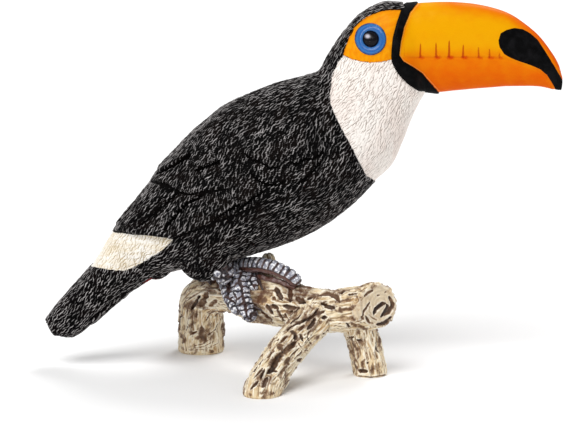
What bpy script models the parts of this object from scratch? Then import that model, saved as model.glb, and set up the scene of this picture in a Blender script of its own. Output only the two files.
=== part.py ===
"""Toucan figurine on a three-legged branch base.

A moulded, hand-painted bird of about 72 mm from tail tip to bill tip, standing
on a short forked branch that rests on three flat-bottomed legs.
The bird looks along +X, its right side is -Y, and the base stands on z = 0.
All sizes below are in millimetres and become metres when the meshes are made.
"""
import math

import bmesh
import bpy
import numpy as np
from mathutils import Vector
from mathutils.bvhtree import BVHTree

MM = 0.001
GAP = 0.14            # parting line between neighbouring pieces
FUSE = 0.06           # half gap left on each side of a straight cut

# ---------------------------------------------------------------- body line
# Each station is one slanted slice of the bird: a point on the back line, a
# point on the belly line (x, z), the half width, how square the slice is and
# how far its widest line sits below the middle.
BODY = [
    # back x, z        belly x, z       half w  square  sag
    (-32.75, 6.45,    -31.70, 4.30,     1.50,   2.3,  0.00),   # 0 tail tip
    (-31.45, 8.24,    -29.24, 4.22,     2.25,   2.3,  0.00),
    (-29.45, 10.54,   -26.40, 6.37,     2.65,   2.3,  0.00),
    (-27.46, 12.76,   -23.42, 8.96,     3.05,   2.3,  0.00),
    (-26.18, 14.26,   -20.59, 10.97,    3.70,   2.2,  0.00),   # 4 tail root
    (-24.75, 16.54,   -17.34, 12.97,    4.75,   2.1,  0.02),
    (-23.05, 19.39,   -13.97, 13.97,    6.00,   2.1,  0.05),   # 6 rump
    (-19.08, 24.79,   -10.32, 14.69,    7.10,   2.1,  0.08),
    (-15.56, 29.60,    -6.10, 15.47,    7.90,   2.1,  0.08),
    (-11.63, 33.83,    -1.89, 16.76,    8.35,   2.1,  0.08),
    (-7.44, 37.35,      2.59, 18.40,    8.60,   2.1,  0.06),   # 10 mantle
    (-3.27, 39.31,      6.23, 20.32,    8.60,   2.1,  0.04),
    (0.63, 40.50,       9.86, 23.16,    8.20,   2.1,  0.02),
    (3.26, 41.06,      12.92, 26.21,    7.50,   2.1,  0.02),   # 13 neck root
    (5.21, 41.76,      15.42, 28.75,    6.60,   2.1,  0.02),
    (6.38, 44.07,      16.94, 32.00,    5.75,   2.1,  0.02),
    (8.25, 47.00,      18.03, 34.96,    5.10,   2.2,  0.02),   # 16 nape
    (10.59, 49.57,     18.99, 37.07,    4.75,   2.2,  0.04),
    (13.63, 51.17,     19.54, 38.05,    4.45,   2.2,  0.06),   # 18 eye
    (16.81, 51.20,     19.95, 38.68,    3.85,   2.2,  0.06),   # 19 bill base
]
TAIL_CUT, NECK_CUT, HEAD_CUT = 4.0, 13.3, 16.0
NECK_SIDE = 26

# ---------------------------------------------------------------- bill line
BILL = [
    # culmen x, z      keel x, z       half w
    (16.99, 51.03,    20.13, 38.75,    3.45),
    (18.89, 51.17,    21.90, 38.75,    3.35),
    (21.93, 51.31,    24.82, 39.03,    3.15),
    (25.39, 51.21,    28.01, 39.31,    2.90),
    (28.58, 50.68,    31.07, 39.66,    2.60),
    (31.36, 49.78,    33.71, 39.73,    2.30),
    (33.73, 48.32,    35.65, 39.66,    2.00),
    (35.69, 46.65,    36.91, 39.45,    1.70),
    (37.25, 44.69,    37.88, 39.17,    1.40),
    (38.39, 42.81,    38.44, 39.03,    1.10),
    (38.97, 40.99,    38.79, 39.03,    0.70),
]
# Line where the two halves of the bill meet, from the face to the tip.
MOUTH_X = (16.0, 23.4, 28.0, 30.3, 32.4, 34.5, 36.0, 37.05)
MOUTH_Z = (43.90, 43.95, 43.95, 43.80, 43.25, 42.15, 40.85, 39.30)
BILL_SIDE = 20

# ---------------------------------------------------------------- wings
WING_THICK = 1.00
WING_GAP = 0.28       # room under the wing shell
WING_TIP, WING_FRONT = 5.75, 11.45      # stations of the two ends
WING_LOW_X = (-23.6, -23.3, -19.7, -15.4, -9.0, -2.0, 6.0)
WING_LOW_Z = (19.7, 19.1, 18.7, 18.9, 21.3, 23.8, 26.4)

# ---------------------------------------------------------------- eyes
EYE_X, EYE_Z = 12.30, 46.90
EYE_RING, EYE_BALL = 2.14, 1.04

# ---------------------------------------------------------------- branch
# Centre lines as (x, y, z, radius). Legs start under the floor and are sawn
# off level at z = 0. The rear leg bends over into the perch.
BOUGH = [(-11.60, 9.05, -1.5, 3.33), (-11.55, 8.90, 2.4, 3.28),
         (-11.42, 8.60, 5.6, 3.22), (-10.90, 7.85, 8.1, 3.05),
         (-9.25, 5.65, 9.0, 2.90), (-6.57, 2.26, 9.05, 2.80),
         (-2.73, -2.22, 9.30, 2.75), (1.18, -5.30, 9.35, 2.82),
         (4.60, -6.80, 9.20, 2.95), (8.20, -7.25, 9.20, 3.00),
         (10.90, -7.35, 9.62, 3.06), (12.65, -8.05, 10.12, 3.08),
         (13.25, -8.95, 10.35, 3.06)]
BOUGH_CUT = 4.0                         # row where leg ends and perch begins
CUT_FACE = (0.44, -0.89, 0.10)          # way the sawn end looks
FRONT_LEG = [(-2.60, -19.30, -1.4, 2.66), (-2.45, -18.50, 0.9, 2.66),
             (-0.42, -14.60, 3.6, 2.62), (1.62, -11.70, 5.7, 2.62),
             (3.50, -9.40, 7.4, 2.68), (4.90, -7.70, 8.8, 2.70)]
RIGHT_LEG = [(12.30, -6.60, -1.2, 2.36), (12.16, -6.45, 1.2, 2.32),
             (11.62, -6.30, 3.8, 2.28), (11.00, -6.40, 6.2, 2.28),
             (10.60, -6.90, 8.6, 2.20)]
STUB = [(-1.1, -3.1, 10.6, 1.00), (-1.5, -2.3, 13.4, 0.88), (-1.9, -1.7, 15.6, 0.80)]

# ---------------------------------------------------------------- legs, toes
THIGH = dict(x=-10.3, y=4.0, z=15.2, long=3.9, wide=2.5, deep=2.6, tilt=-18.0)
TOE_R, CLAW_R = 1.25, 0.70
# Each toe: (x of the perch slice, angle round the perch, lift above it).
TOES_RIGHT = [
    [(-5.1, 14, 0.5), (-3.4, 14, 1.2), (-1.7, 14, 1.6), (0.0, 14, 1.5), (1.3, 14, 1.0), (2.7, 14, 0.0)],
    [(-5.2, -24, 1.8), (-4.4, -34, 0.8), (-3.9, -50, 0.25), (-3.5, -68, 0.2), (-3.2, -88, 0.2)],
    [(-5.5, 16, 1.4), (-5.3, 38, 0.5), (-4.7, 57, 0.2), (-4.0, 74, 0.2), (-3.3, 89, 0.2), (-2.7, 101, 0.2)],
    [(-5.1, 11, 1.5), (-3.7, 38, 0.5), (-2.9, 59, 0.2), (-2.3, 79, 0.2), (-1.7, 98, 0.2), (-1.1, 114, 0.2)],
]
TOES_LEFT = [
    [(-8.4, -20, 1.7), (-7.8, -40, 0.7), (-7.3, -64, 0.2), (-7.0, -90, 0.2), (-6.8, -116, 0.2)],
    [(-7.8, -8, 1.7), (-6.6, -24, 0.9), (-5.8, -44, 0.3), (-5.5, -66, 0.2), (-5.4, -88, 0.2)],
    [(-8.8, 2, 1.7), (-9.0, 28, 0.6), (-8.9, 60, 0.25), (-8.6, 92, 0.2)],
]

COLOURS = {
    "plumage_black": ((0.018, 0.017, 0.018, 1), 0.62),
    "bill_orange": ((0.86, 0.30, 0.01, 1), 0.30),
    "eye_blue": ((0.05, 0.22, 0.62, 1), 0.25),
    "foot_grey": ((0.22, 0.22, 0.30, 1), 0.55),
    "bark_tan": ((0.62, 0.46, 0.26, 1), 0.62),
}


# ================================================================ helpers
def clear_scene():
    for ob in list(bpy.data.objects):
        bpy.data.objects.remove(ob, do_unlink=True)


def paint(name):
    """Return the shared material of one finish."""
    mat = bpy.data.materials.get(name)
    if mat is None:
        colour, rough = COLOURS[name]
        mat = bpy.data.materials.new(name)
        mat.use_nodes = True
        bsdf = mat.node_tree.nodes["Principled BSDF"]
        bsdf.inputs["Base Color"].default_value = colour
        bsdf.inputs["Roughness"].default_value = rough
        bsdf.inputs["Metallic"].default_value = 0.0
        mat.diffuse_color = colour
    return mat


def add_mesh(name, verts, faces, finish):
    """Make one closed body from points in millimetres."""
    me = bpy.data.meshes.new(name)
    me.from_pydata([tuple(float(c) * MM for c in v) for v in verts], [], faces)
    me.update()
    bm = bmesh.new()
    bm.from_mesh(me)
    bmesh.ops.recalc_face_normals(bm, faces=bm.faces)
    if bm.calc_volume(signed=True) < 0:
        bmesh.ops.reverse_faces(bm, faces=bm.faces)
    bm.to_mesh(me)
    bm.free()
    me.materials.append(paint(finish))
    ob = bpy.data.objects.new(name, me)
    bpy.context.scene.collection.objects.link(ob)
    for p in me.polygons:
        p.use_smooth = True
    return ob


def spline(rows, s):
    """Smooth value of a table of rows at a fractional row number."""
    rows = np.asarray(rows, float)
    n = len(rows)
    s = min(max(s, 0.0), n - 1.0)
    i = min(int(s), n - 2)
    t = s - i
    p1, p2 = rows[i], rows[i + 1]
    p0 = rows[i - 1] if i > 0 else 2 * p1 - p2
    p3 = rows[i + 2] if i + 2 < n else 2 * p2 - p1
    return (p1 + 0.5 * t * (p2 - p0 + t * (2 * p0 - 5 * p1 + 4 * p2 - p3
            + t * (3 * (p1 - p2) + p3 - p0))))


def slice_point(row, a):
    """Point of a body slice; a = 0 on the back, 0.25 on the left flank."""
    tx, tz, bx, bz, w, sq, sag = row
    c, s = math.cos(2 * math.pi * a), math.sin(2 * math.pi * a)
    up = math.copysign(abs(c) ** (2 / sq), c)
    side = math.copysign(abs(s) ** (2 / sq), s)
    v = 0.5 * (1 - up) + sag * (1 - up * up)
    return np.array([tx + (bx - tx) * v, w * side, tz + (bz - tz) * v])


def body_point(s, a):
    return slice_point(spline(BODY, s), a)


def body_normal(s, a):
    e = 0.01
    ds = body_point(min(s + e, 19), a) - body_point(max(s - e, 0), a)
    da = body_point(s, a + e * 0.2) - body_point(s, a - e * 0.2)
    n = np.cross(da, ds)
    n /= max(np.linalg.norm(n), 1e-9)
    out = body_point(s, a) - 0.5 * (body_point(s, 0.0) + body_point(s, 0.5))
    return n if n @ out >= 0 else -n


def tube_faces(rings, side, cap_start=True, cap_end=True):
    faces = []
    for r in range(rings - 1):
        for k in range(side):
            a, b = r * side + k, r * side + (k + 1) % side
            faces.append((a, b, b + side, a + side))
    if cap_start:
        faces.append(tuple(range(side)))
    if cap_end:
        faces.append(tuple((rings - 1) * side + k for k in reversed(range(side))))
    return faces


def body_piece(name, s0, s1, rings, finish, grow=0.0, domed=0.0):
    """Part of the bird between two slices, closed by flat cuts."""
    verts = []
    stations = list(np.linspace(s0, s1, rings))
    for s in stations:
        for k in range(NECK_SIDE):
            a = k / NECK_SIDE
            p = body_point(s, a)
            if grow:
                p = p + grow * body_normal(s, a)
            verts.append(p)
    faces = tube_faces(rings, NECK_SIDE, cap_start=not domed)
    if domed:                       # rounded end of the tail
        first = np.array(verts[:NECK_SIDE])
        centre = first.mean(0)
        away = centre - np.array(verts[NECK_SIDE:2 * NECK_SIDE]).mean(0)
        away /= np.linalg.norm(away)
        base = len(verts)
        verts += [centre + (p - centre) * 0.62 + away * domed for p in first]
        for k in range(NECK_SIDE):
            j = (k + 1) % NECK_SIDE
            faces.append((k, base + k, base + j, j))
        faces.append(tuple(base + k for k in range(NECK_SIDE)))
    return add_mesh(name, verts, faces, finish)


def tube(name, path, finish, side=14, steps=10, span=None, end_look=None,
         grow=0.0, round_start=False, round_end=False, stretch=0.0, floor=False):
    """Bent round limb through the given (x, y, z, r) rows, or a span of it."""
    u0, u1 = span if span else (0.0, len(path) - 1.0)
    us = np.linspace(u0, u1, steps)
    pts = np.array([spline(path, u) for u in us])
    tan = np.array([(spline(path, u + 0.02) - spline(path, u - 0.02))[:3] for u in us])
    tan /= np.linalg.norm(tan, axis=1)[:, None]
    if end_look is not None:
        look = np.array(end_look, float)
        look /= np.linalg.norm(look)
        for j, f in ((1, 1.0), (2, 0.62), (3, 0.28)):
            tan[-j] = tan[-j] * (1 - f) + look * f
        tan /= np.linalg.norm(tan, axis=1)[:, None]
    ref = np.cross(tan[0], (0.0, 1.0, 0.13))
    verts, caps = [], []
    for p, t in zip(pts, tan):
        ref = ref - t * (ref @ t)
        ref /= np.linalg.norm(ref)
        bi = np.cross(t, ref)
        verts += [p[:3] + (p[3] + grow) * (math.cos(q) * ref + math.sin(q) * bi)
                  for q in (2 * math.pi * k / side for k in range(side))]
        caps.append((p, t, ref.copy(), bi))
    faces = tube_faces(steps, side, cap_start=not round_start, cap_end=not round_end)
    for on, i, sign in ((round_end, -1, 1.0), (round_start, 0, -1.0)):
        if not on:
            continue
        p, t, rf, bi = caps[i]
        r = p[3] + grow
        prev = (steps - 1) * side if i == -1 else 0
        for ang in (35, 65):
            c, s = math.cos(math.radians(ang)), math.sin(math.radians(ang))
            base = len(verts)
            verts += [p[:3] + sign * t * r * s * (1 + stretch)
                      + r * c * (math.cos(q) * rf + math.sin(q) * bi)
                      for q in (2 * math.pi * k / side for k in range(side))]
            faces += [(prev + k, prev + (k + 1) % side, base + (k + 1) % side, base + k)
                      for k in range(side)]
            prev = base
        verts.append(p[:3] + sign * t * r * (1 + stretch))
        faces += [(prev + k, prev + (k + 1) % side, len(verts) - 1) for k in range(side)]
    ob = add_mesh(name, verts, faces, finish)
    if floor:                                   # saw the foot off level
        bm = bmesh.new()
        bm.from_mesh(ob.data)
        cut = bmesh.ops.bisect_plane(bm, geom=bm.verts[:] + bm.edges[:] + bm.faces[:],
                                     plane_co=(0, 0, 0), plane_no=(0, 0, -1),
                                     clear_outer=True)
        rim = [g for g in cut["geom_cut"] if isinstance(g, bmesh.types.BMEdge)]
        bmesh.ops.contextual_create(bm, geom=rim)
        bmesh.ops.recalc_face_normals(bm, faces=bm.faces)
        bm.to_mesh(ob.data)
        bm.free()
    return ob


def combine(target, other, operation):
    """Exact Boolean of two bodies; the other body is used up."""
    other.hide_render = True
    other.display_type = 'WIRE'
    mod = target.modifiers.new("cut", 'BOOLEAN')
    mod.operation = operation
    mod.solver = 'EXACT'
    mod.object = other
    dg = bpy.context.evaluated_depsgraph_get()
    me = bpy.data.meshes.new_from_object(target.evaluated_get(dg))
    target.modifiers.clear()
    target.data = me
    bpy.data.objects.remove(other, do_unlink=True)
    bm = bmesh.new()
    bm.from_mesh(me)
    bmesh.ops.remove_doubles(bm, verts=bm.verts, dist=0.00001)
    bmesh.ops.dissolve_degenerate(bm, edges=bm.edges, dist=0.000004)
    bmesh.ops.triangulate(bm, faces=bm.faces)
    bm.to_mesh(me)
    bm.free()
    for p in me.polygons:
        p.use_smooth = True
    return target


def keep_largest(ob):
    """Drop loose crumbs a cut may leave behind."""
    bm = bmesh.new()
    bm.from_mesh(ob.data)
    todo, groups = set(bm.verts), []
    while todo:
        seed = todo.pop()
        group, stack = {seed}, [seed]
        while stack:
            for e in stack.pop().link_edges:
                for v in e.verts:
                    if v in todo:
                        todo.discard(v)
                        group.add(v)
                        stack.append(v)
        groups.append(group)
    groups.sort(key=len, reverse=True)
    for g in groups[1:]:
        bmesh.ops.delete(bm, geom=list(g), context='VERTS')
    bm.to_mesh(ob.data)
    bm.free()


# ================================================================ bill
def bill_ring(s, low, grow=0.0):
    """Right-to-left outline of one slice of a bill half."""
    row = spline(BILL, s)
    top, bot, w = np.array((row[0], row[1])), np.array((row[2], row[3])), row[4]
    v = np.linspace(0, 1, 60)
    xs = top[0] + (bot[0] - top[0]) * v
    zs = top[1] + (bot[1] - top[1]) * v
    mouth = np.interp(xs, MOUTH_X, MOUTH_Z, right=38.0)
    sign = zs - mouth
    vm = 1.0
    for i in range(len(v) - 1):
        if sign[i] > 0 >= sign[i + 1]:
            f = sign[i] / (sign[i] - sign[i + 1])
            vm = v[i] + f * (v[i + 1] - v[i])
            break
    length = np.linalg.norm(bot - top)
    half_gap = 0.5 * GAP / length
    v0, v1 = (vm + half_gap, 1.0) if low else (0.0, vm - half_gap)
    if vm >= 1.0:
        v0, v1 = (1.0, 1.0) if low else (0.0, 1.0)

    def width(q):
        up = 1 - 2 * q
        return w * max(0.0, 1 - abs(up) ** 2.4) ** (1 / 2.2)
    n = BILL_SIDE // 2
    out = []
    for k in range(n + 1):                       # right side, top to bottom
        f = k / n
        if low:
            f = math.sin(0.5 * math.pi * f)
        else:
            f = 1 - math.cos(0.5 * math.pi * f)
        q = v0 + (v1 - v0) * f
        out.append((q, -width(q)))
    ring = [(q, y) for q, y in out]
    ring += [(q, -y) for q, y in reversed(out)]
    return [np.array([top[0] + (bot[0] - top[0]) * q, y, top[1] + (bot[1] - top[1]) * q])
            for q, y in ring], (v1 - v0) * length


def bill_half(name, low, finish):
    verts, rings = [], 0
    last = len(BILL) - 1
    stop = 7.7 if low else last
    for s in np.linspace(0, stop, 15):
        ring, tall = bill_ring(s, low)
        if tall < 0.45:
            break
        verts += ring
        rings += 1
    side = len(verts) // rings
    ob = add_mesh(name, verts, tube_faces(rings, side), finish)
    bm = bmesh.new()
    bm.from_mesh(ob.data)
    bmesh.ops.remove_doubles(bm, verts=bm.verts, dist=0.00002)
    bmesh.ops.recalc_face_normals(bm, faces=bm.faces)
    bm.to_mesh(ob.data)
    bm.free()
    return ob


# ================================================================ wings
def low_edge(s):
    """Place on the flank where the folded wing's lower edge runs."""
    lo, hi = 0.02, 0.45
    for _ in range(30):
        mid = 0.5 * (lo + hi)
        p = body_point(s, mid)
        if p[2] > np.interp(p[0], WING_LOW_X, WING_LOW_Z):
            lo = mid
        else:
            hi = mid
    return 0.5 * (lo + hi)


def wing(name, side_sign):
    """Folded wing: a shell that hugs the back and flank."""
    ns, nv = 18, 8
    outer, inner = [], []
    for i in range(ns + 1):
        f = i / ns
        s = WING_TIP + (WING_FRONT - WING_TIP) * f
        a0 = 0.012 + 0.10 * max(0.0, (s - 8.8) / 2.6) ** 1.3
        a1 = low_edge(s)
        if f > 0.80:                       # rounded shoulder
            g = math.sqrt(max(0.0, 1 - ((f - 0.80) / 0.215) ** 2))
            mid = 0.55 * a0 + 0.45 * a1
            a0, a1 = mid + (a0 - mid) * g, mid + (a1 - mid) * g
        row_o, row_i = [], []
        for j in range(nv + 1):
            v = j / nv
            a = a0 + (a1 - a0) * v
            edge = min(v, 1 - v) * 2
            rear = min(1.0, 0.55 + f * 2.2)
            front = min(1.0, (1 - f) / 0.16 + 0.25)
            t = WING_THICK * (0.50 + 0.50 * min(1.0, edge * 2.0) ** 0.6) * rear * front
            t = max(t, 0.5)
            p = body_point(s, a)
            n = body_normal(s, a)
            p = p * (1, side_sign, 1)
            n = n * (1, side_sign, 1)
            row_i.append(p + n * WING_GAP)
            row_o.append(p + n * (WING_GAP + t))
        outer.append(row_o)
        inner.append(row_i)
    verts = [p for row in outer for p in row] + [p for row in inner for p in row]
    m, half = nv + 1, (ns + 1) * (nv + 1)
    faces = []
    for i in range(ns):
        for j in range(nv):
            a = i * m + j
            faces.append((a, a + 1, a + m + 1, a + m))
            faces.append((half + a, half + a + m, half + a + m + 1, half + a + 1))
    for i in range(ns):
        for j in (0, nv):
            a = i * m + j
            faces.append((a, a + m, half + a + m, half + a))
    for j in range(nv):
        for i in (0, ns):
            a = i * m + j
            faces.append((a, half + a, half + a + 1, a + 1))
    return add_mesh(name, verts, faces, "plumage_black")


# ================================================================ eyes
def eye(name, head, side_sign):
    """Raised ring of bare skin with a domed pupil, set on the cheek."""
    tree = BVHTree.FromObject(head, bpy.context.evaluated_depsgraph_get())
    rim = (0.0, 0.45, 0.80, 1.04, 1.18, 1.45, 1.80, 2.14)
    lift = (0.62, 0.56, 0.40, 0.16, 0.26, 0.42, 0.36, 0.12)
    side = 20
    outer, inner = [], []
    for r, h in zip(rim, lift):
        for k in range(side if r else 1):
            q = 2 * math.pi * k / side
            x, z = EYE_X + r * math.cos(q), EYE_Z + r * math.sin(q)
            hit = tree.ray_cast(Vector((x * MM, side_sign * 12 * MM, z * MM)),
                                Vector((0, -side_sign, 0)))[0]
            y = abs(hit.y) / MM + 0.16
            outer.append((x, side_sign * (y + h), z))
            if r in (0.0, rim[-1]):
                inner.append((x, side_sign * y, z))
    verts = outer + inner
    faces = []
    for k in range(side):
        faces.append((0, 1 + k, 1 + (k + 1) % side))
    for r in range(len(rim) - 2):
        for k in range(side):
            a, b = 1 + r * side + k, 1 + r * side + (k + 1) % side
            faces.append((a, a + side, b + side, b))
    base = len(outer)
    last = 1 + (len(rim) - 2) * side
    for k in range(side):
        j = (k + 1) % side
        faces.append((last + k, base + 1 + k, base + 1 + j, last + j))
        faces.append((base, base + 1 + j, base + 1 + k))
    return add_mesh(name, verts, faces, "eye_blue")


# ================================================================ legs, feet
def thigh(name, side_sign, grow=0.0):
    """Feathered upper leg, an egg hanging from the belly."""
    t = THIGH
    rows, side = 9, 14
    tilt = math.radians(t["tilt"])
    verts = [None]
    for i in range(1, rows):
        th = math.pi * i / rows
        for k in range(side):
            q = 2 * math.pi * k / side
            taper = 1.0 + 0.16 * math.cos(th)
            x = (t["long"] + grow) * -math.cos(th)
            y = (t["deep"] + grow) * math.sin(th) * math.cos(q) * taper
            z = (t["wide"] + grow) * math.sin(th) * math.sin(q) * taper
            verts.append((x, y, z))
    verts[0] = (-(t["long"] + grow), 0, 0)
    verts.append((t["long"] + grow, 0, 0))
    faces = [(0, 1 + (k + 1) % side, 1 + k) for k in range(side)]
    for i in range(rows - 2):
        for k in range(side):
            a, b = 1 + i * side + k, 1 + i * side + (k + 1) % side
            faces.append((a, b, b + side, a + side))
    last = 1 + (rows - 2) * side
    faces += [(last + k, last + (k + 1) % side, len(verts) - 1) for k in range(side)]
    c, s = math.cos(tilt), math.sin(tilt)
    verts = [(t["x"] + x * c - z * s, side_sign * (t["y"] + y), t["z"] + x * s + z * c)
             for x, y, z in verts]
    return add_mesh(name, verts, faces, "plumage_black")


def perch_frame(x):
    """Centre, radius and cross axes of the perch slice at a given x."""
    lo, hi = BOUGH_CUT - 0.5, len(BOUGH) - 1.0
    for _ in range(40):
        mid = 0.5 * (lo + hi)
        if spline(BOUGH, mid)[0] < x:
            lo = mid
        else:
            hi = mid
    p, q = spline(BOUGH, lo - 0.02), spline(BOUGH, lo + 0.02)
    t = (q - p)[:3]
    t /= np.linalg.norm(t)
    up = np.array((0, 0, 1.0)) - t * t[2]
    up /= np.linalg.norm(up)
    near = np.cross(up, t)                      # points toward -Y and -X
    if near[1] > 0:
        near = -near
    row = spline(BOUGH, lo)
    return row[:3], row[3], up, near


def toe_path(steps, r0, r1):
    path = []
    n = len(steps) - 1
    for i, (x, ang, lift) in enumerate(steps):
        c, rad, up, near = perch_frame(x)
        r = r0 + (r1 - r0) * i / n
        q = math.radians(ang)
        reach = rad + GAP + 0.05 + r + lift
        p = c + reach * (math.cos(q) * up + math.sin(q) * near)
        path.append((*p, r))
    return path


def foot(name, toes):
    """Toes that grip the perch, joined at a short stout shank."""
    body = None
    for i, steps in enumerate(toes):
        t = tube(f"toe{i}", toe_path(steps, TOE_R, CLAW_R), "foot_grey", side=10,
                 steps=9, round_start=True, round_end=True, stretch=0.35)
        body = t if body is None else combine(body, t, 'UNION')
    body.name = name
    body.data.name = name
    return body


# ================================================================ build
def main():
    clear_scene()
    tail = body_piece("tail", 0.0, TAIL_CUT - 0.025, 9, "plumage_black", domed=0.55)
    trunk = body_piece("trunk", TAIL_CUT + 0.025, NECK_CUT - 0.025, 24, "plumage_black")
    neck = body_piece("neck", NECK_CUT + 0.025, HEAD_CUT - 0.025, 8, "plumage_black")
    head = body_piece("head", HEAD_CUT + 0.035, 19.0, 10, "plumage_black")
    bill_half("bill_upper", False, "bill_orange")
    bill_half("bill_lower", True, "bill_orange")
    wing("wing_right", -1)
    wing("wing_left", 1)
    eye("eye_right", head, -1)
    eye("eye_left", head, 1)

    for label, sgn, toes in (("right", -1, TOES_RIGHT), ("left", 1, TOES_LEFT)):
        leg = thigh(f"leg_{label}", sgn)
        combine(leg, body_piece("cut", 3.6, 13.0, 24, "plumage_black", grow=GAP), 'DIFFERENCE')
        keep_largest(leg)
        ft = foot(f"foot_{label}", toes)
        combine(ft, thigh("cut", sgn, grow=GAP), 'DIFFERENCE')
        combine(ft, body_piece("cut", 3.6, 13.0, 24, "plumage_black", grow=GAP), 'DIFFERENCE')
        keep_largest(ft)

    last = len(BOUGH) - 1.0
    tube("branch_perch", BOUGH, "bark_tan", side=16, steps=17, end_look=CUT_FACE,
         span=(BOUGH_CUT + 0.03, last))
    tube("branch_leg_rear", BOUGH, "bark_tan", side=16, steps=9, floor=True,
         span=(0.0, BOUGH_CUT - 0.03))
    for name, path in (("branch_leg_front", FRONT_LEG), ("branch_leg_right", RIGHT_LEG)):
        leg = tube(name, path, "bark_tan", side=16, steps=8, floor=True)
        combine(leg, tube("cut", BOUGH, "bark_tan", side=16, steps=17, end_look=CUT_FACE,
                          span=(BOUGH_CUT, last), grow=GAP), 'DIFFERENCE')
        keep_largest(leg)
    stub = tube("branch_stub", STUB, "bark_tan", side=10, steps=4, round_end=True)
    combine(stub, tube("cut", BOUGH, "bark_tan", side=16, steps=17, end_look=CUT_FACE,
                       span=(BOUGH_CUT, last), grow=GAP), 'DIFFERENCE')
    keep_largest(stub)

    # The middle of the footprint becomes the origin, the floor z = 0.
    obs = [o for o in bpy.data.objects if o.type == 'MESH']
    pts = np.array([v.co[:] for o in obs for v in o.data.vertices])
    lo, hi = pts.min(0), pts.max(0)
    shift = np.array((0.5 * (lo[0] + hi[0]), 0.5 * (lo[1] + hi[1]), lo[2]))
    for o in obs:
        for v in o.data.vertices:
            v.co = Vector(np.array(v.co[:]) - shift)
    total = 0
    for o in obs:
        o.data.calc_loop_triangles()
        total += len(o.data.loop_triangles)
        print(o.name, len(o.data.loop_triangles))
    print("triangles", total, "shift mm", np.round(shift * 1000, 3), "size mm", np.round((hi - lo) * 1000, 2))


main()
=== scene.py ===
"""Looks of a hand-painted moulded toucan figurine on a branch base.

Lengths in the tables are millimetres, measured with the base on z = 0 and
x = 0, y = 0 on the bird's own middle plane. SHIFT moves them to the frame.
"""
import math
import bmesh
import bpy
import numpy as np
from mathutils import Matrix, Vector
from mathutils.bvhtree import BVHTree
from mathutils.kdtree import KDTree


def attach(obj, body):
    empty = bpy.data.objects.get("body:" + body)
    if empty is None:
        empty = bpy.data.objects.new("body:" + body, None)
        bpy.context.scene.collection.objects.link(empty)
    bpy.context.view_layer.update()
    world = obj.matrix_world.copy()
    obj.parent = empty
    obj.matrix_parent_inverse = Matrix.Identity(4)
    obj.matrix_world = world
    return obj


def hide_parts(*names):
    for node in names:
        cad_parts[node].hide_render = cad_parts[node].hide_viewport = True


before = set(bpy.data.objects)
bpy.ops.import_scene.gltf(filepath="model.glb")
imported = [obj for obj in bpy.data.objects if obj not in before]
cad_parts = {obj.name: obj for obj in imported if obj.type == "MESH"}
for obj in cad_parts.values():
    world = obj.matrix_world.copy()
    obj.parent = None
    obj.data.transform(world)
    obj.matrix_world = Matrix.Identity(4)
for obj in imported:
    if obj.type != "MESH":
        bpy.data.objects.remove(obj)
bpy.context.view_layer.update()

MM = 0.001
SHIFT = np.array((2.952, -4.69, 0.0))
Q = 1.0                # mesh density factor
SEED = 20

# ------------------------------------------------------------------ body
# back x, z, belly x, z, half width, squareness, sag of the widest line
BODY = np.array([
    # back x, z        belly x, z       half w  square  sag
    (-32.75, 6.45,    -31.70, 4.30,     1.50,   2.3,  0.00),   # 0 tail tip
    (-31.45, 8.24,    -29.24, 4.22,     2.25,   2.3,  0.00),
    (-29.45, 10.54,   -26.40, 6.37,     2.65,   2.3,  0.00),
    (-27.46, 12.76,   -23.42, 8.96,     3.05,   2.3,  0.00),
    (-26.18, 14.26,   -20.59, 10.97,    3.70,   2.2,  0.00),   # 4 tail root
    (-24.75, 16.54,   -17.34, 12.97,    4.75,   2.1,  0.02),
    (-23.05, 19.39,   -13.97, 13.97,    6.00,   2.1,  0.05),   # 6 rump
    (-19.08, 24.79,   -10.32, 14.69,    7.10,   2.1,  0.08),
    (-15.56, 29.60,    -6.10, 15.47,    7.90,   2.1,  0.08),
    (-11.63, 33.83,    -1.89, 16.76,    8.35,   2.1,  0.08),
    (-7.44, 37.35,      2.59, 18.40,    8.60,   2.1,  0.06),   # 10 mantle
    (-3.27, 39.31,      6.23, 20.32,    8.60,   2.1,  0.04),
    (0.63, 40.50,       9.86, 23.16,    8.20,   2.1,  0.02),
    (3.26, 41.06,      12.92, 26.21,    7.50,   2.1,  0.02),   # 13 neck root
    (5.21, 41.76,      15.42, 28.75,    6.60,   2.1,  0.02),
    (6.38, 44.07,      16.94, 32.00,    5.75,   2.1,  0.02),
    (8.25, 47.00,      18.03, 34.96,    5.10,   2.2,  0.02),   # 16 nape
    (10.59, 49.57,     18.99, 37.07,    4.75,   2.2,  0.04),
    (13.63, 51.17,     19.54, 38.05,    4.45,   2.2,  0.06),   # 18 eye
    (16.81, 51.20,     19.95, 38.68,    3.85,   2.2,  0.06),   # 19 bill base
])
TAU = 2 * math.pi

# Outlines on the flank, as (x, z) seen from the bird's right side.
BAND_REAR = [
    (17.36, 51.59), (17.16, 51.03), (16.54, 50.20), (16.00, 48.53), (15.46, 46.16),
    (15.26, 44.35), (15.25, 43.31), (15.62, 42.25), (16.46, 40.99), (17.72, 39.73),
    (19.12, 38.89), (20.23, 38.66), (21.90, 38.47),
]
BAND_FRONT = [
    (19.16, 51.59), (18.82, 51.03), (17.79, 49.78), (16.97, 47.69), (16.52, 45.60),
    (16.36, 43.93), (16.87, 43.09), (18.26, 42.25), (19.52, 41.41), (20.64, 40.15),
    (21.90, 38.75), (22.18, 38.33),
]
FACE = [
    (17.79, 50.20), (16.27, 50.18), (15.02, 50.15), (13.83, 50.03), (12.08, 49.29),
    (10.85, 48.42), (10.16, 47.80), (9.45, 46.47), (8.84, 44.88), (8.58, 43.91), (9.65, 43.38),
    (11.04, 43.02), (12.45, 42.88), (13.87, 42.99), (15.18, 43.28), (17.83, 43.65),
]
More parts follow.
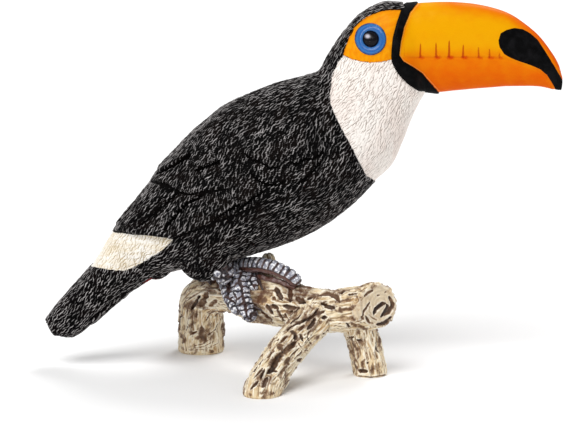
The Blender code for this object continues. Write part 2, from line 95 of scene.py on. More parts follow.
BIB = [
    (8.58, 43.91), (7.97, 43.02), (7.26, 41.69), (6.92, 40.29), (6.79, 38.50), (6.80, 37.25),
    (7.20, 36.01), (7.91, 34.58), (8.61, 33.16), (9.51, 31.55), (10.40, 29.76), (11.10, 28.33),
    (11.83, 26.99), (13.06, 26.28), (14.33, 25.50), (24.95, 25.50), (24.78, 43.23),
    (17.83, 43.65), (15.18, 43.28), (13.87, 42.99), (12.45, 42.88), (11.04, 43.02),
    (9.65, 43.38),
]
RUMP = [
    (-24.31, 19.39), (-23.33, 18.89), (-19.41, 18.50), (-17.03, 18.25), (-15.07, 17.94),
    (-16.76, 16.40), (-18.17, 15.47), (-20.71, 13.97), (-22.17, 13.40), (-24.92, 13.76),
    (-26.60, 14.04), (-29.68, 14.69), (-26.82, 19.96),
]
TIP_PATCH = [
    (30.07, 45.96), (30.38, 46.94), (31.18, 47.44), (32.30, 47.69), (33.41, 47.54),
    (34.54, 46.94), (35.51, 46.05), (36.33, 44.85), (37.15, 43.55), (37.96, 42.26),
    (38.63, 41.13), (39.12, 40.33), (39.55, 39.59), (39.56, 38.47), (38.45, 38.47),
    (38.05, 39.17), (37.52, 40.15), (36.87, 41.13), (35.90, 41.94), (34.60, 42.50),
    (33.15, 42.99), (31.87, 43.48), (30.90, 44.04), (30.25, 45.00),
]
MOUTH = [
    (14.36, 43.58), (23.39, 43.58), (30.32, 43.58), (31.58, 43.37), (33.04, 42.87),
    (34.57, 42.35), (35.85, 41.77), (36.80, 40.95), (37.45, 40.01), (37.97, 39.10),
    (38.17, 38.75),
]
WING = [
    (5.66, 25.50), (4.68, 24.65), (-2.03, 23.23), (-9.03, 20.67), (-15.35, 18.11),
    (-19.41, 18.47), (-23.19, 18.85), (-23.61, 19.39), (-23.66, 19.89), (-26.81, 21.38),
    (-21.11, 33.41), (-11.32, 41.83), (2.56, 47.41), (8.12, 43.23), (5.65, 30.59),
]
TERTIAL = [
    (-18.36, 28.19), (-18.72, 26.21), (-17.16, 25.92), (-15.44, 25.50), (-13.95, 24.59),
    (-12.37, 24.37), (-9.30, 24.93), (-5.10, 25.50), (-1.61, 26.63), (6.77, 30.59),
    (2.57, 46.02), (-11.31, 43.23), (-21.11, 33.41),
]
COVERT_1 = [
    (5.51, 29.18), (4.68, 28.26), (3.84, 27.27), (2.72, 26.35), (1.69, 26.00), (0.84, 26.52),
    (-0.49, 25.92), (-1.94, 25.95), (-3.28, 26.52), (-4.40, 27.76), (-5.37, 29.18),
    (-5.79, 31.15), (-3.55, 33.41), (2.58, 35.10), (6.76, 33.41),
]
COVERT_2 = [
    (6.07, 30.59), (4.48, 29.49), (3.14, 29.46), (2.02, 28.68), (0.91, 29.11), (-0.07, 28.43),
    (-1.52, 28.19), (-2.86, 29.06), (-4.12, 29.29), (-5.15, 30.45), (-6.35, 30.59),
    (-6.90, 32.28), (-4.94, 34.54), (2.57, 37.07), (7.03, 35.94),
]
CREASE_A = [
    (-11.79, 29.88), (-13.33, 28.90), (-15.29, 27.76), (-17.39, 26.84),
]
CREASE_B = [
    (-8.16, 29.11), (-10.12, 28.19), (-11.94, 27.48),
]
CREASE_D = [
    (-10.56, 24.51), (-11.96, 23.66), (-13.11, 23.02), (-14.91, 21.10), (-16.60, 18.97),
]
CREASE_E = [
    (-5.38, 23.51), (-7.77, 22.09), (-10.15, 20.39),
]
CREASE_F = [
    (-2.45, 25.07), (-4.55, 23.66), (-6.37, 21.95),
]
CREASE_G = [
    (-19.93, 23.51), (-21.35, 21.53), (-22.90, 19.68),
]
SHAFT_C = [
    (-13.91, 25.36), (-15.59, 23.80), (-17.42, 22.09), (-18.97, 20.60), (-20.45, 19.25),
]
SHAFT_T = [
    (-32.03, 6.09), (-30.61, 7.45), (-29.47, 8.82), (-27.33, 11.33), (-25.63, 13.11),
]
TICKS = [(17.06, 45.49), (19.25, 45.81), (21.46, 45.96), (23.25, 46.3), (25.18, 45.64), (27.36, 45.32), (28.85, 45.0), (30.23, 44.36)]
TICK_FOOT = 43.54
# Slope in degrees of the hand-cut strokes at places on the flank.
LIE = [
    (-15.89, 26.70, 60), (-10.85, 33.84, 62), (-5.81, 35.10, 60), (-0.77, 36.36, 52), (2.59, 38.88, 38),
    (4.27, 36.92, 45), (5.53, 30.48, 72), (6.51, 34.68, 70), (6.37, 27.54, 62), (-3.29, 28.80, 70),
    (0.49, 30.48, 66), (-8.33, 23.20, 78), (-13.37, 22.22, 68), (-11.41, 26.28, 66), (-4.27, 23.76, 75),
    (0.49, 24.74, 50), (5.53, 24.74, 38), (9.59, 25.58, 40), (-2.03, 22.50, 34), (2.59, 21.38, 32),
    (-5.81, 18.58, 40), (-9.31, 21.38, 72), (-12.11, 18.58, 60), (-11.41, 14.80, 62), (-7.91, 15.78, 42),
    (-14.21, 15.78, 45), (-17.01, 14.80, 40), (-21.21, 19.98, 62), (-18.41, 23.48, 62), (6.79, 45.88, 50),
    (8.19, 48.68, 35), (10.99, 50.64, 12), (7.49, 42.38, 70), (6.23, 38.88, 72), (8.89, 41.68, 50),
    (8.19, 37.48, 42), (9.59, 34.68, 48), (12.39, 37.48, 50), (15.19, 37.48, 60), (16.59, 36.08, 68),
    (12.39, 31.88, 58), (10.29, 30.48, 50), (14.49, 30.48, 66), (13.09, 27.68, 58), (17.99, 38.18, 58),
    (-22.61, 17.18, 68), (-18.41, 17.18, 66), (-21.21, 15.08, 66), (-25.41, 12.28, 62), (-28.21, 9.48, 58),
    (-30.31, 6.68, 55), (-22.61, 12.98, 70), (-28.91, 11.58, 45), (-31.01, 8.78, 45), (-26.11, 9.48, 62),
    (-22.61, 10.88, 50), (-25.41, 8.08, 45),
]
CREASE_T = [(-27.37, 5.98), (-25.41, 7.66), (-23.73, 9.06), (-21.49, 10.74)]

BILL = np.array([
    # culmen x, z      keel x, z       half w
    (16.99, 51.03,    20.13, 38.75,    3.45),
    (18.89, 51.17,    21.90, 38.75,    3.35),
    (21.93, 51.31,    24.82, 39.03,    3.15),
    (25.39, 51.21,    28.01, 39.31,    2.90),
    (28.58, 50.68,    31.07, 39.66,    2.60),
    (31.36, 49.78,    33.71, 39.73,    2.30),
    (33.73, 48.32,    35.65, 39.66,    2.00),
    (35.69, 46.65,    36.91, 39.45,    1.70),
    (37.25, 44.69,    37.88, 39.17,    1.40),
    (38.39, 42.81,    38.44, 39.03,    1.10),
    (38.97, 40.99,    38.79, 39.03,    0.70),
])


# ------------------------------------------------------------------ maths
def rows_at(table, s):
    """Smooth rows of a table at fractional row numbers."""
    s = np.clip(np.asarray(s, float), 0, len(table) - 1)
    i = np.minimum(s.astype(int), len(table) - 2)
    t = (s - i)[..., None]
    p1, p2 = table[i], table[i + 1]
    p0 = np.where((i > 0)[..., None], table[np.maximum(i - 1, 0)], 2 * p1 - p2)
    last = len(table) - 1
    p3 = np.where((i + 2 <= last)[..., None], table[np.minimum(i + 2, last)], 2 * p2 - p1)
    return p1 + 0.5 * t * (p2 - p0 + t * (2 * p0 - 5 * p1 + 4 * p2 - p3
                                          + t * (3 * (p1 - p2) + p3 - p0)))


def slice_points(rows, a):
    """Points of body slices; rows and a have the same leading shape."""
    tx, tz, bx, bz, w, sq, sag = np.moveaxis(rows, -1, 0)
    c, s = np.cos(TAU * a), np.sin(TAU * a)
    up = np.sign(c) * np.abs(c) ** (2 / sq)
    side = np.sign(s) * np.abs(s) ** (2 / sq)
    v = 0.5 * (1 - up) + sag * (1 - up * up)
    return np.stack([tx + (bx - tx) * v, w * side, tz + (bz - tz) * v], -1)


def grid_normals(P, wrap=True, flip=False):
    """Unit normals of a grid of points (rows, columns, 3)."""
    du = np.gradient(P, axis=0)
    if wrap:
        dv = np.roll(P, -1, 1) - np.roll(P, 1, 1)
    else:
        dv = np.gradient(P, axis=1)
    N = np.cross(dv, du)
    N /= np.maximum(np.linalg.norm(N, axis=-1, keepdims=True), 1e-12)
    return -N if flip else N


def unit(v):
    return v / np.maximum(np.linalg.norm(v, axis=-1, keepdims=True), 1e-12)


def smooth(lo, hi, x):
    t = np.clip((x - lo) / (hi - lo), 0, 1)
    return t * t * (3 - 2 * t)


def side_chart(P):
    """Where a point falls on the flank drawing, alike on both sides."""
    y = np.abs(P[..., 1])
    k = 450.0 / (450.0 - y * 0.985)
    return np.stack([P[..., 0] * k, 21.1 + (P[..., 2] - 21.1) * k - y * 0.1763], -1)


def line_distance(C, pts):
    """Distance to a polyline, which side of it, and how far along."""
    pts = np.asarray(pts, float)
    best = np.full(C.shape[:-1], 1e9)
    sign = np.zeros(C.shape[:-1])
    along = np.zeros(C.shape[:-1])
    seg = np.linalg.norm(np.diff(pts, axis=0), axis=1)
    total, run = seg.sum(), 0.0
    for (p, q), L in zip(zip(pts[:-1], pts[1:]), seg):
        d = (q - p) / L
        rel = C - p
        t = np.clip(rel @ d, 0, L)
        off = rel - t[..., None] * d
        dist = np.hypot(off[..., 0], off[..., 1])
        cr = d[0] * rel[..., 1] - d[1] * rel[..., 0]
        near = dist < best
        best = np.where(near, dist, best)
        sign = np.where(near, np.sign(cr), sign)
        along = np.where(near, (run + t) / total, along)
        run += L
    return best, sign, along


def inside(C, poly):
    """Signed distance to a closed outline, positive inside."""
    poly = np.asarray(poly, float)
    x, z = C[..., 0], C[..., 1]
    odd = np.zeros(x.shape, bool)
    for (x0, z0), (x1, z1) in zip(poly, np.roll(poly, -1, 0)):
        if z0 == z1:
            continue
        cross = ((z0 > z) != (z1 > z)) & (x < (x1 - x0) * (z - z0) / (z1 - z0) + x0)
        odd ^= cross
    d, _, _ = line_distance(C, np.vstack([poly, poly[:1]]))
    return np.where(odd, d, -d)


def waves(P, scale, seed, octaves=3):
    """Cheap smooth noise from sums of sine waves, about -1 to 1."""
    rng = np.random.default_rng(seed)
    out = np.zeros(P.shape[:-1])
    amp, norm = 1.0, 0.0
    for o in range(octaves):
        for _ in range(4):
            k = rng.normal(size=3)
            k /= np.linalg.norm(k)
            out += amp * np.sin((P @ k) * TAU / (scale * (0.7 + 0.6 * rng.random())) + rng.random() * TAU
                                + 1.5 * np.sin((P @ np.roll(k, 1)) * TAU / (scale * 1.9)))
        norm += amp * 2.0
        amp *= 0.5
        scale *= 0.5
    return out / norm


# ------------------------------------------------------------------ meshes
def make_piece(name, P, faces, attrs=None, normals=None, uv=None, smooth_shade=True):
    """Mesh from millimetre points; faces is an (n, 4) or (n, 3) index array or a list of those."""
    P = np.asarray(P, float).reshape(-1, 3)
    groups = faces if isinstance(faces, list) else [faces]
    groups = [np.asarray(f, np.int64) for f in groups if len(f)]
    me = bpy.data.meshes.new(name)
    nv = len(P)
    loops = np.concatenate([f.reshape(-1) for f in groups])
    totals = np.concatenate([np.full(len(f), f.shape[1]) for f in groups])
    starts = np.concatenate([[0], np.cumsum(totals)[:-1]])
    me.vertices.add(nv)
    me.vertices.foreach_set("co", ((P - SHIFT) * MM).astype(np.float32).reshape(-1))
    me.loops.add(len(loops))
    me.loops.foreach_set("vertex_index", loops.astype(np.int32))
    me.polygons.add(len(totals))
    me.polygons.foreach_set("loop_start", starts.astype(np.int32))
    me.polygons.foreach_set("loop_total", totals.astype(np.int32))
    me.update(calc_edges=True)
    me.validate()
    me.polygons.foreach_set("use_smooth", np.full(len(totals), smooth_shade))
    for key, val in (attrs or {}).items():
        val = np.asarray(val, np.float32)
        if val.ndim >= 2 and val.shape[-1] == 3 and val.size == nv * 3:
            at = me.attributes.new(key, 'FLOAT_VECTOR', 'POINT')
            at.data.foreach_set("vector", val.reshape(-1))
        else:
            at = me.attributes.new(key, 'FLOAT', 'POINT')
            at.data.foreach_set("value", val.reshape(-1))
    if uv is not None:
        lay = me.uv_layers.new(name="OFBake")
        lay.data.foreach_set("uv", np.asarray(uv, np.float32).reshape(-1))
    if normals is not None:
        me.normals_split_custom_set_from_vertices(np.asarray(normals, np.float32).reshape(-1, 3))
    me.update()
    ob = bpy.data.objects.new(name, me)
    bpy.context.scene.collection.objects.link(ob)
    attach(ob, "root")
    return ob


def grid_faces(n, m, wrap):
    """Quads of an n by m grid, counter-clockwise from outside, and their UV corners."""
    i = np.arange(n - 1)[:, None]
    j = np.arange(m if wrap else m - 1)[None, :]
    j1 = (j + 1) % m
    a, b, c, d = i * m + j, i * m + j1, (i + 1) * m + j1, (i + 1) * m + j
    quads = np.stack(np.broadcast_arrays(a, b, c, d), -1).reshape(-1, 4)
    u0, u1 = np.broadcast_arrays(j / (m if wrap else m - 1), (j + 1) / (m if wrap else m - 1))[0:2]
    v0, v1 = i / (n - 1), (i + 1) / (n - 1)
    u0, u1, v0, v1 = np.broadcast_arrays(u0, u1, v0, v1)
    uv = np.stack([np.stack([u0, v0], -1), np.stack([u1, v0], -1),
                   np.stack([u1, v1], -1), np.stack([u0, v1], -1)], -2).reshape(-1, 4, 2)
    return quads, uv


def lie_of_strokes(C):
    """Slope of the hand-cut strokes on the flank drawing, as a unit (x, z)."""
    acc = np.zeros(C.shape)
    for px, pz, deg in LIE:
        w = 1.0 / ((C[..., 0] - px) ** 2 + (C[..., 1] - pz) ** 2 + 1.2) ** 1.6
        q = 2 * math.radians(deg)
        acc += w[..., None] * np.array((math.cos(q), math.sin(q)))
    q = 0.5 * np.arctan2(acc[..., 1], acc[..., 0])
    return np.stack([np.cos(q), np.sin(q)], -1)


def spread(P, N, D, where, beside, along, rng, tries):
    """Evenly spread places for strokes, closer beside them than along them."""
    n, m = P.shape[:2]
    du = np.linalg.norm(np.gradient(P, axis=0), axis=-1)
    dv = np.linalg.norm(np.roll(P, -1, 1) - P, axis=-1)
    cum = np.cumsum((du * dv * where).reshape(-1))
    pick = np.unique(np.searchsorted(cum, rng.random(tries) * cum[-1]))
    pick = pick[rng.permutation(len(pick))]
    pick = pick[pick < n * m]
    pts, dirs, nrm = P.reshape(-1, 3)[pick], D.reshape(-1, 3)[pick], N.reshape(-1, 3)[pick]
    side = np.cross(nrm, dirs)
    tree = KDTree(len(pick))
    for k, p in enumerate(pts):
        tree.insert(p, k)
    tree.balance()
    free = np.ones(len(pick), bool)
    for k in range(len(pick)):
        if not free[k]:
            continue
        near = np.array([h[1] for h in tree.find_range(pts[k], along)])
        near = near[near > k]
        if len(near):
            rel = pts[near] - pts[k]
            hit = (rel @ dirs[k] / along) ** 2 + (rel @ side[k] / beside) ** 2 < 1
            free[near[hit]] = False
    return pick[free]


def strokes(P, N, D, H, pick, rng, length, width, height, jitter=0.2, bend=0.25, wavy=0.05):
    """Add short hand-cut ridges along D at the picked grid points; H is changed."""
    n, m = P.shape[:2]
    du = np.linalg.norm(np.gradient(P, axis=0), axis=-1)
    dv = np.linalg.norm(np.roll(P, -1, 1) - P, axis=-1)
    ci, cj = pick // m, pick % m
    count = len(pick)
    L = length * (0.70 + 0.6 * rng.random(count))
    W = width * (0.85 + 0.3 * rng.random(count))
    amp = height * (0.65 + 0.35 * rng.random(count))
    ang = rng.normal(size=count) * jitter
    kb = bend * rng.normal(size=count)
    ph, fr = rng.random(count) * TAU, 0.9 + 0.8 * rng.random(count)
    d = D[ci, cj]
    c = unit(np.cross(N[ci, cj], d))
    d = unit(d * np.cos(ang)[:, None] + c * np.sin(ang)[:, None])
    c = unit(np.cross(N[ci, cj], d))
    reach = 0.5 * L.max() * 1.02
    wi = np.ceil(reach / np.maximum(du[ci, cj], 0.03)).astype(int).clip(2, 40)
    wj = np.ceil(reach / np.maximum(dv[ci, cj], 0.02)).astype(int).clip(2, 44)
    flat = P.reshape(-1, 3)
    Hf = H.reshape(-1)
    key = (wi // 2) * 100 + wj // 2
    for k in np.unique(key):
        sel = np.where(key == k)[0]
        ri, rj = (k // 100) * 2 + 1, (k % 100) * 2 + 1
        oi, oj = np.meshgrid(np.arange(-ri, ri + 1), np.arange(-rj, rj + 1), indexing="ij")
        oi, oj = oi.reshape(-1), oj.reshape(-1)
        step = max(1, int(3e6 // len(oi)))
        for b in range(0, len(sel), step):
            q = sel[b:b + step]
            ii = ci[q][:, None] + oi[None]
            jj = (cj[q][:, None] + oj[None]) % m
            ok = (ii >= 0) & (ii < n)
            idx = np.clip(ii, 0, n - 1) * m + jj
            rel = flat[idx] - P[ci[q], cj[q]][:, None]
            t = np.einsum("abk,ak->ab", rel, d[q])
            w = np.einsum("abk,ak->ab", rel, c[q])
            w = w - kb[q][:, None] * t * t - wavy * np.sin(t * TAU * fr[q][:, None] + ph[q][:, None])
            e = np.clip(1 - np.abs(2 * t / L[q][:, None]) ** 2.4, 0, 1)
            val = amp[q][:, None] * e ** 0.7 * np.exp(-(w / (0.5 * W[q][:, None])) ** 2)
            val = np.where(ok, val, 0)
            good = val > 0.02 * height
            np.maximum.at(Hf, idx[good], val[good])
    return H


# ------------------------------------------------------------------ skin
def band_edge_rows(a):
    """Body row at which the head skin ends under the bill's collar."""
    lo, hi = np.full(a.shape, 16.8), np.full(a.shape, 19.0)
    zs = [p[1] for p in BAND_REAR][::-1]
    xs = [p[0] for p in BAND_REAR][::-1]
    for _ in range(26):
        mid = 0.5 * (lo + hi)
        C = side_chart(slice_points(rows_at(BODY, mid), a))
        before = C[..., 0] < np.interp(C[..., 1], zs, xs)
        lo, hi = np.where(before, mid, lo), np.where(before, hi, mid)
    return 0.5 * (lo + hi)


def even_rows(table, s0, s1, step_at):
    """Row numbers spaced so that the flank is divided evenly."""
    fine = np.linspace(s0, s1, 3000)
    p = slice_points(rows_at(table, fine), np.full(fine.shape, 0.25))
    top = slice_points(rows_at(table, fine), np.zeros(fine.shape))
    low = slice_points(rows_at(table, fine), np.full(fine.shape, 0.5))
    seg = (np.linalg.norm(np.diff(p, axis=0), axis=1) * 0.5
           + 0.25 * np.linalg.norm(np.diff(top, axis=0), axis=1)
           + 0.25 * np.linalg.norm(np.diff(low, axis=0), axis=1))
    seg = seg / np.interp(0.5 * (fine[1:] + fine[:-1]), *zip(*step_at))
    run = np.concatenate([[0], np.cumsum(seg)])
    n = int(round(run[-1]))
    return np.interp(np.linspace(0, run[-1], n), run, fine)


# Small corrections of the upper outline: place along the bird, height.
TRIM_X = (-24.0, -22.9, -21.8, -20.6, -19.5, -17.3, -16.2, -15.0, -13.9, -12.8, -10.6, -9.5,
          -8.3, -5.0, -2.7, -0.5, 1.8, 4.0, 5.1, 6.2, 9.0, 11.0, 13.0, 14.9)
TRIM_H = (0.30, 0.35, 0.40, 0.25, 0.12, -0.12, -0.40, -0.60, -0.55, -0.40, -0.48, -0.50,
          -0.40, -0.40, -0.38, -0.25, -0.27, -0.12, -0.06, -0.25, -0.22, -0.26, -0.25, 0.0)
THIGH_X, THIGH_Y, THIGH_Z = -10.4, 4.0, 14.4


def build_skin():
    rng = np.random.default_rng(SEED)
    step = 1.0 / Q
    srow = even_rows(BODY, 0.0, 19.0, [(0, 0.105 * step), (12, 0.100 * step), (14, 0.085 * step), (19, 0.08 * step)])
    m = int(570 * Q) // 2 * 2
    a = (np.arange(m) / m + 0.5) % 1.0              # first column lies on the belly
    A2, S2 = np.meshgrid(a, srow)
    s_end = band_edge_rows(a) + 0.20
    warp = np.clip((S2 - 16.2) / (19.0 - 16.2), 0, 1)
    S2 = np.where(S2 > 16.2, 16.2 + warp * (np.minimum(s_end[None], 19.0) - 16.2), S2)
    P = slice_points(rows_at(BODY, S2), A2)
    # rounded end of the tail
    ncap = max(6, int(11 * Q))
    first, nxt = P[0], P[3]
    centre = first.mean(0)
    out = unit(centre - nxt.mean(0))
    caps, caps_s = [], []
    for k in range(ncap):
        q = 0.5 * math.pi * (1 - (k + 0.35) / ncap)
        caps.append(centre + (first - centre) * math.cos(q) + out * 0.40 * math.sin(q))
    P = np.concatenate([np.array(caps), P], 0)
    S2 = np.concatenate([np.repeat(S2[:1], ncap, 0), S2], 0)
    A2 = np.concatenate([np.repeat(A2[:1], ncap, 0), A2], 0)
    n = len(P)
    N = grid_normals(P)
    centre_line = P.mean(1, keepdims=True)
    flip = np.sign(np.mean(np.sum(N * (P - centre_line), -1)))
    N = N * flip

    # feathered thighs hang as short tufts, and a small tuft sits under the tail
    right = np.sign(P[..., 1])
    for xc, yc, ax, ay, tall in ((THIGH_X, THIGH_Y, 3.5, 3.1, 2.35), (-16.9, 2.3, 1.3, 1.6, 0.55)):
        dx, dy = P[..., 0] - xc, np.abs(P[..., 1]) - yc
        rho2 = (dx / ax) ** 2 + (dy / ay) ** 2
        h = tall * np.clip(1 - rho2, 0, 1) ** 0.85
        h = h * smooth(0.15, -0.25, N[..., 2])
        P = P + h[..., None] * np.stack([np.full_like(h, 0.04), right * 0.12, np.full_like(h, -1.0)], -1)
    C = side_chart(P)
    x, y, z = P[..., 0], np.abs(P[..., 1]), P[..., 2]

    # --- wings and feather layers: heights above the body line
    fade_mantle = smooth(-1.5, 3.5, line_distance(C, [(-9.5, 40.5), (6.4, 28.0)])[0]
                         * -line_distance(C, [(-9.5, 40.5), (6.4, 28.0)])[1])
    notch = 2.2 * np.exp(-(y / 1.1) ** 2)             # tips part over the rump
    Cw = C - np.stack([notch, notch * 0.9], -1) * smooth(-17.0, -22.0, C[..., 0])[..., None]
    d_wing = inside(Cw, WING)
    rear = smooth(3.0, -8.0, C[..., 0])
    edge = smooth(-0.06, 0.30 + 0.9 * (1 - rear), d_wing)
    ridge_line = 0.18 + 0.82 * smooth(0.6, 4.6, y)     # wings lie flat along the back line
    Hm = (0.46 + 0.28 * rear) * edge * np.clip(fade_mantle, 0, 1) * ridge_line
    d_ter = inside(C, TERTIAL)
    ter = 0.62 * smooth(-0.05, 0.24, d_ter) * (1 - smooth(-12.5, -4.5, C[..., 0]))
    Hm = Hm + ter * (d_wing > -0.5) * ridge_line
    for table, tall in ((CREASE_A, 0.40), (CREASE_B, 0.32), (CREASE_D, 0.38),
                        (CREASE_E, 0.34), (CREASE_F, 0.32), (CREASE_G, 0.28), (CREASE_T, 0.30),
                        (COVERT_1[:5], 0.24), (COVERT_1[5:10], 0.24), (COVERT_2[:5], 0.22),
                        (COVERT_2[5:10], 0.20)):
        d, sgn, along = line_distance(C, table)
        ends = smooth(0.0, 0.12, along) * smooth(1.0, 0.85, along)
        up = sgn * -1.0                                # side toward the back
        sd = d * up
        prof = np.where(sd > 0, np.exp(-sd / 1.1) * smooth(0, 0.12, sd), 0) \
            - 1.0 * np.exp(-((sd + 0.10) / 0.20) ** 2)
        Hm = Hm + tall * prof * ends * (d < 4)
    d, _, along = line_distance(C, SHAFT_C)
    ends = smooth(0.0, 0.08, along) * smooth(1.0, 0.92, along)
    Hm = Hm + ends * (0.26 * np.exp(-(d / 0.20) ** 2) - 0.22 * np.exp(-((d - 0.42) / 0.16) ** 2))
    d, _, along = line_distance(C, SHAFT_T)
    Hm = Hm + 0.24 * np.exp(-(d / 0.28) ** 2) * smooth(0, 0.1, along)
    # groove down the back between the folded wings
    back = smooth(-9.5, -12.5, x) * smooth(-25.0, -23.0, x) * (P[..., 2] > 17)
    Hm = Hm - 0.30 * np.exp(-(y / 0.28) ** 2) * back
    # the outline of the back, nape and crown
    crown = smooth(-0.05, 0.45, (grid_normals(P) * flip)[..., 2])
    Hm = Hm + np.mean([np.interp(C[..., 0] + o, TRIM_X, TRIM_H) for o in (-0.9, -0.45, 0, 0.45, 0.9)], 0) * crown
    # lightly uneven hand modelling
    Hm = Hm + 0.07 * waves(P, 7.0, 3, 2)
    P = P + Hm[..., None] * N

    def ring_blur(F, k):
        for _ in range(k):
            F = 0.25 * (np.roll(F, 1, 1) + np.roll(F, -1, 1)) + 0.5 * F
            G_ = F.copy()
            G_[1:-1] = 0.25 * (F[2:] + F[:-2]) + 0.5 * F[1:-1]
            F = G_
        return F
    cav = ring_blur(Hm, 14) - Hm                       # positive in hollows
    N = grid_normals(P) * flip
    Nf = unit(ring_blur(N, 5))

    # --- lie of the feathers
    lie = np.gradient(slice_points(rows_at(BODY, S2), A2), axis=0)
    lie[:ncap + 1] = lie[ncap + 2][None]
    lie = unit(lie - np.sum(lie * Nf, -1, keepdims=True) * Nf)
    girth = np.roll(P, -1, 1) - np.roll(P, 1, 1)
    girth = girth * np.where(A2 < 0.5, -1.0, 1.0)[..., None]
    girth = unit(girth - np.sum(girth * Nf, -1, keepdims=True) * Nf)
    C = side_chart(P)
    d_bib = inside(C, BIB)
    d_face = inside(C, FACE)
    d_rump = inside(C, RUMP)
    slope = lie_of_strokes(C)
    D = np.stack([slope[..., 0], np.zeros_like(y), slope[..., 1]], -1)
    D = D - np.sum(D * Nf, -1, keepdims=True) * Nf
    size = np.linalg.norm(D, axis=-1, keepdims=True)
    D = D + lie * 1.2 * smooth(0.75, 0.25, size)
    turn = 0.16 * waves(P, 5.0, 9, 2)[..., None]
    D = unit(D + np.cross(Nf, D) * turn)
    in_bib = smooth(-0.05, 0.05, d_bib)
    in_face = smooth(-0.05, 0.05, d_face)
    in_rump = smooth(-0.05, 0.05, d_rump)

    # --- hand-cut strokes
    H = np.zeros(P.shape[:2])
    dark = (1 - in_bib) * (1 - in_face) * (1 - in_rump)
    few = 1.0
    pick = spread(P, Nf, D, dark + 1e-6, 0.275, 0.66, rng, int(90000 * few))
    strokes(P, Nf, D, H, pick, rng, 1.25, 0.205, 0.21, jitter=0.11, bend=0.16, wavy=0.045)
    Hb = np.zeros(P.shape[:2])
    pick = spread(P, Nf, D, in_bib + 1e-6, 0.250, 0.58, rng, int(20000 * few))
    strokes(P, Nf, D, Hb, pick, rng, 1.10, 0.150, 0.110, jitter=0.14, bend=0.20, wavy=0.04)
    Hr = np.zeros(P.shape[:2])
    pick = spread(P, Nf, D, in_rump + 1e-6, 0.30, 0.70, rng, int(7000 * few))
    strokes(P, Nf, D, Hr, pick, rng, 1.30, 0.190, 0.120, jitter=0.20, bend=0.22, wavy=0.05)
    H = H * (1 - 0.82 * smooth(0.030, 0.085, cav))       # the creases stay clear of strokes
    fine = H * dark - Hb * in_bib - Hr * in_rump
    fine = fine + 0.008 * in_face * waves(P, 0.9, 31, 2)
    P = P + fine[..., None] * Nf
    N = grid_normals(P) * flip

    length = np.cumsum(np.concatenate([[0], np.linalg.norm(np.diff(P.mean(1), axis=0), axis=1)]))
    around = np.cumsum(np.linalg.norm(np.roll(P, -1, 1) - P, axis=-1), axis=1)
    flow = np.stack([np.repeat(length[:, None], m, 1), around, np.zeros((n, m))], -1)
    red = smooth(2.6, 1.9, y) * smooth(4.35, 4.7, S2) * smooth(6.6, 6.1, S2) * (np.abs(A2 - 0.5) < 0.2)
    attrs = {"ridge": H / 0.21, "cut": Hb / 0.110 * in_bib + Hr / 0.120 * in_rump, "cav": cav,
             "bib": d_bib, "face": d_face, "rump": d_rump, "flow": flow, "red": red}

    mat = skin_material()
    uvp = None
    cuts_s = [0.0, 4.0, 6.6, 8.7, 10.7, 12.9, 15.6, 30.0]
    names = [("skin_tail", ["tail"]), ("skin_rump", ["leg_left", "leg_right"]),
             ("skin_wing_tips", ["wing_left"]), ("skin_wings", ["wing_right"]),
             ("skin_breast", ["trunk"]), ("skin_neck", ["neck"]), ("skin_head", ["head"])]
    mean_s = S2.mean(1)
    starts = [0] + [int(np.searchsorted(mean_s, c)) for c in cuts_s[1:-1]] + [n - 1]
    made = []
    for (name, nodes), r0, r1 in zip(names, starts[:-1], starts[1:]):
        sub = slice(r0, r1 + 1)
        k = r1 + 1 - r0
        quads, uv = grid_faces(k, m, True)
        if flip < 0:
            quads, uv = quads[:, ::-1], uv[:, ::-1]
        pts = P[sub].reshape(-1, 3)
        nrm = N[sub].reshape(-1, 3)
        att = {key: val[sub].reshape(-1, 3) if val.ndim == 3 else val[sub].reshape(-1) for key, val in attrs.items()}
        groups = [quads]
        uv_all = [uv.reshape(-1, 2)]
        if r0 == 0:                                     # close the tail tip
            tip = pts[:m].mean(0)
            pts = np.vstack([pts, tip])
            nrm = np.vstack([nrm, out[None]])
            att = {key: np.concatenate([val, val[:1]], 0) for key, val in att.items()}
            t = np.stack([np.full(m, len(pts) - 1), (np.arange(m) + 1) % m, np.arange(m)], -1)
            u = np.arange(m) / m
            tuv = np.stack([np.stack([u, u * 0], -1), np.stack([u + 1 / m, u * 0], -1), np.stack([u, u * 0], -1)], 1)
            if flip < 0:
                t, tuv = t[:, ::-1], tuv[:, ::-1]
            groups.append(t)
            uv_all.append(tuv.reshape(-1, 2))
        ob = make_piece(name, pts, groups, att, nrm, np.concatenate(uv_all, 0))
        ob.data.materials.append(mat)
        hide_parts(*nodes)
        made.append(ob)
    return P, N, S2, A2, made


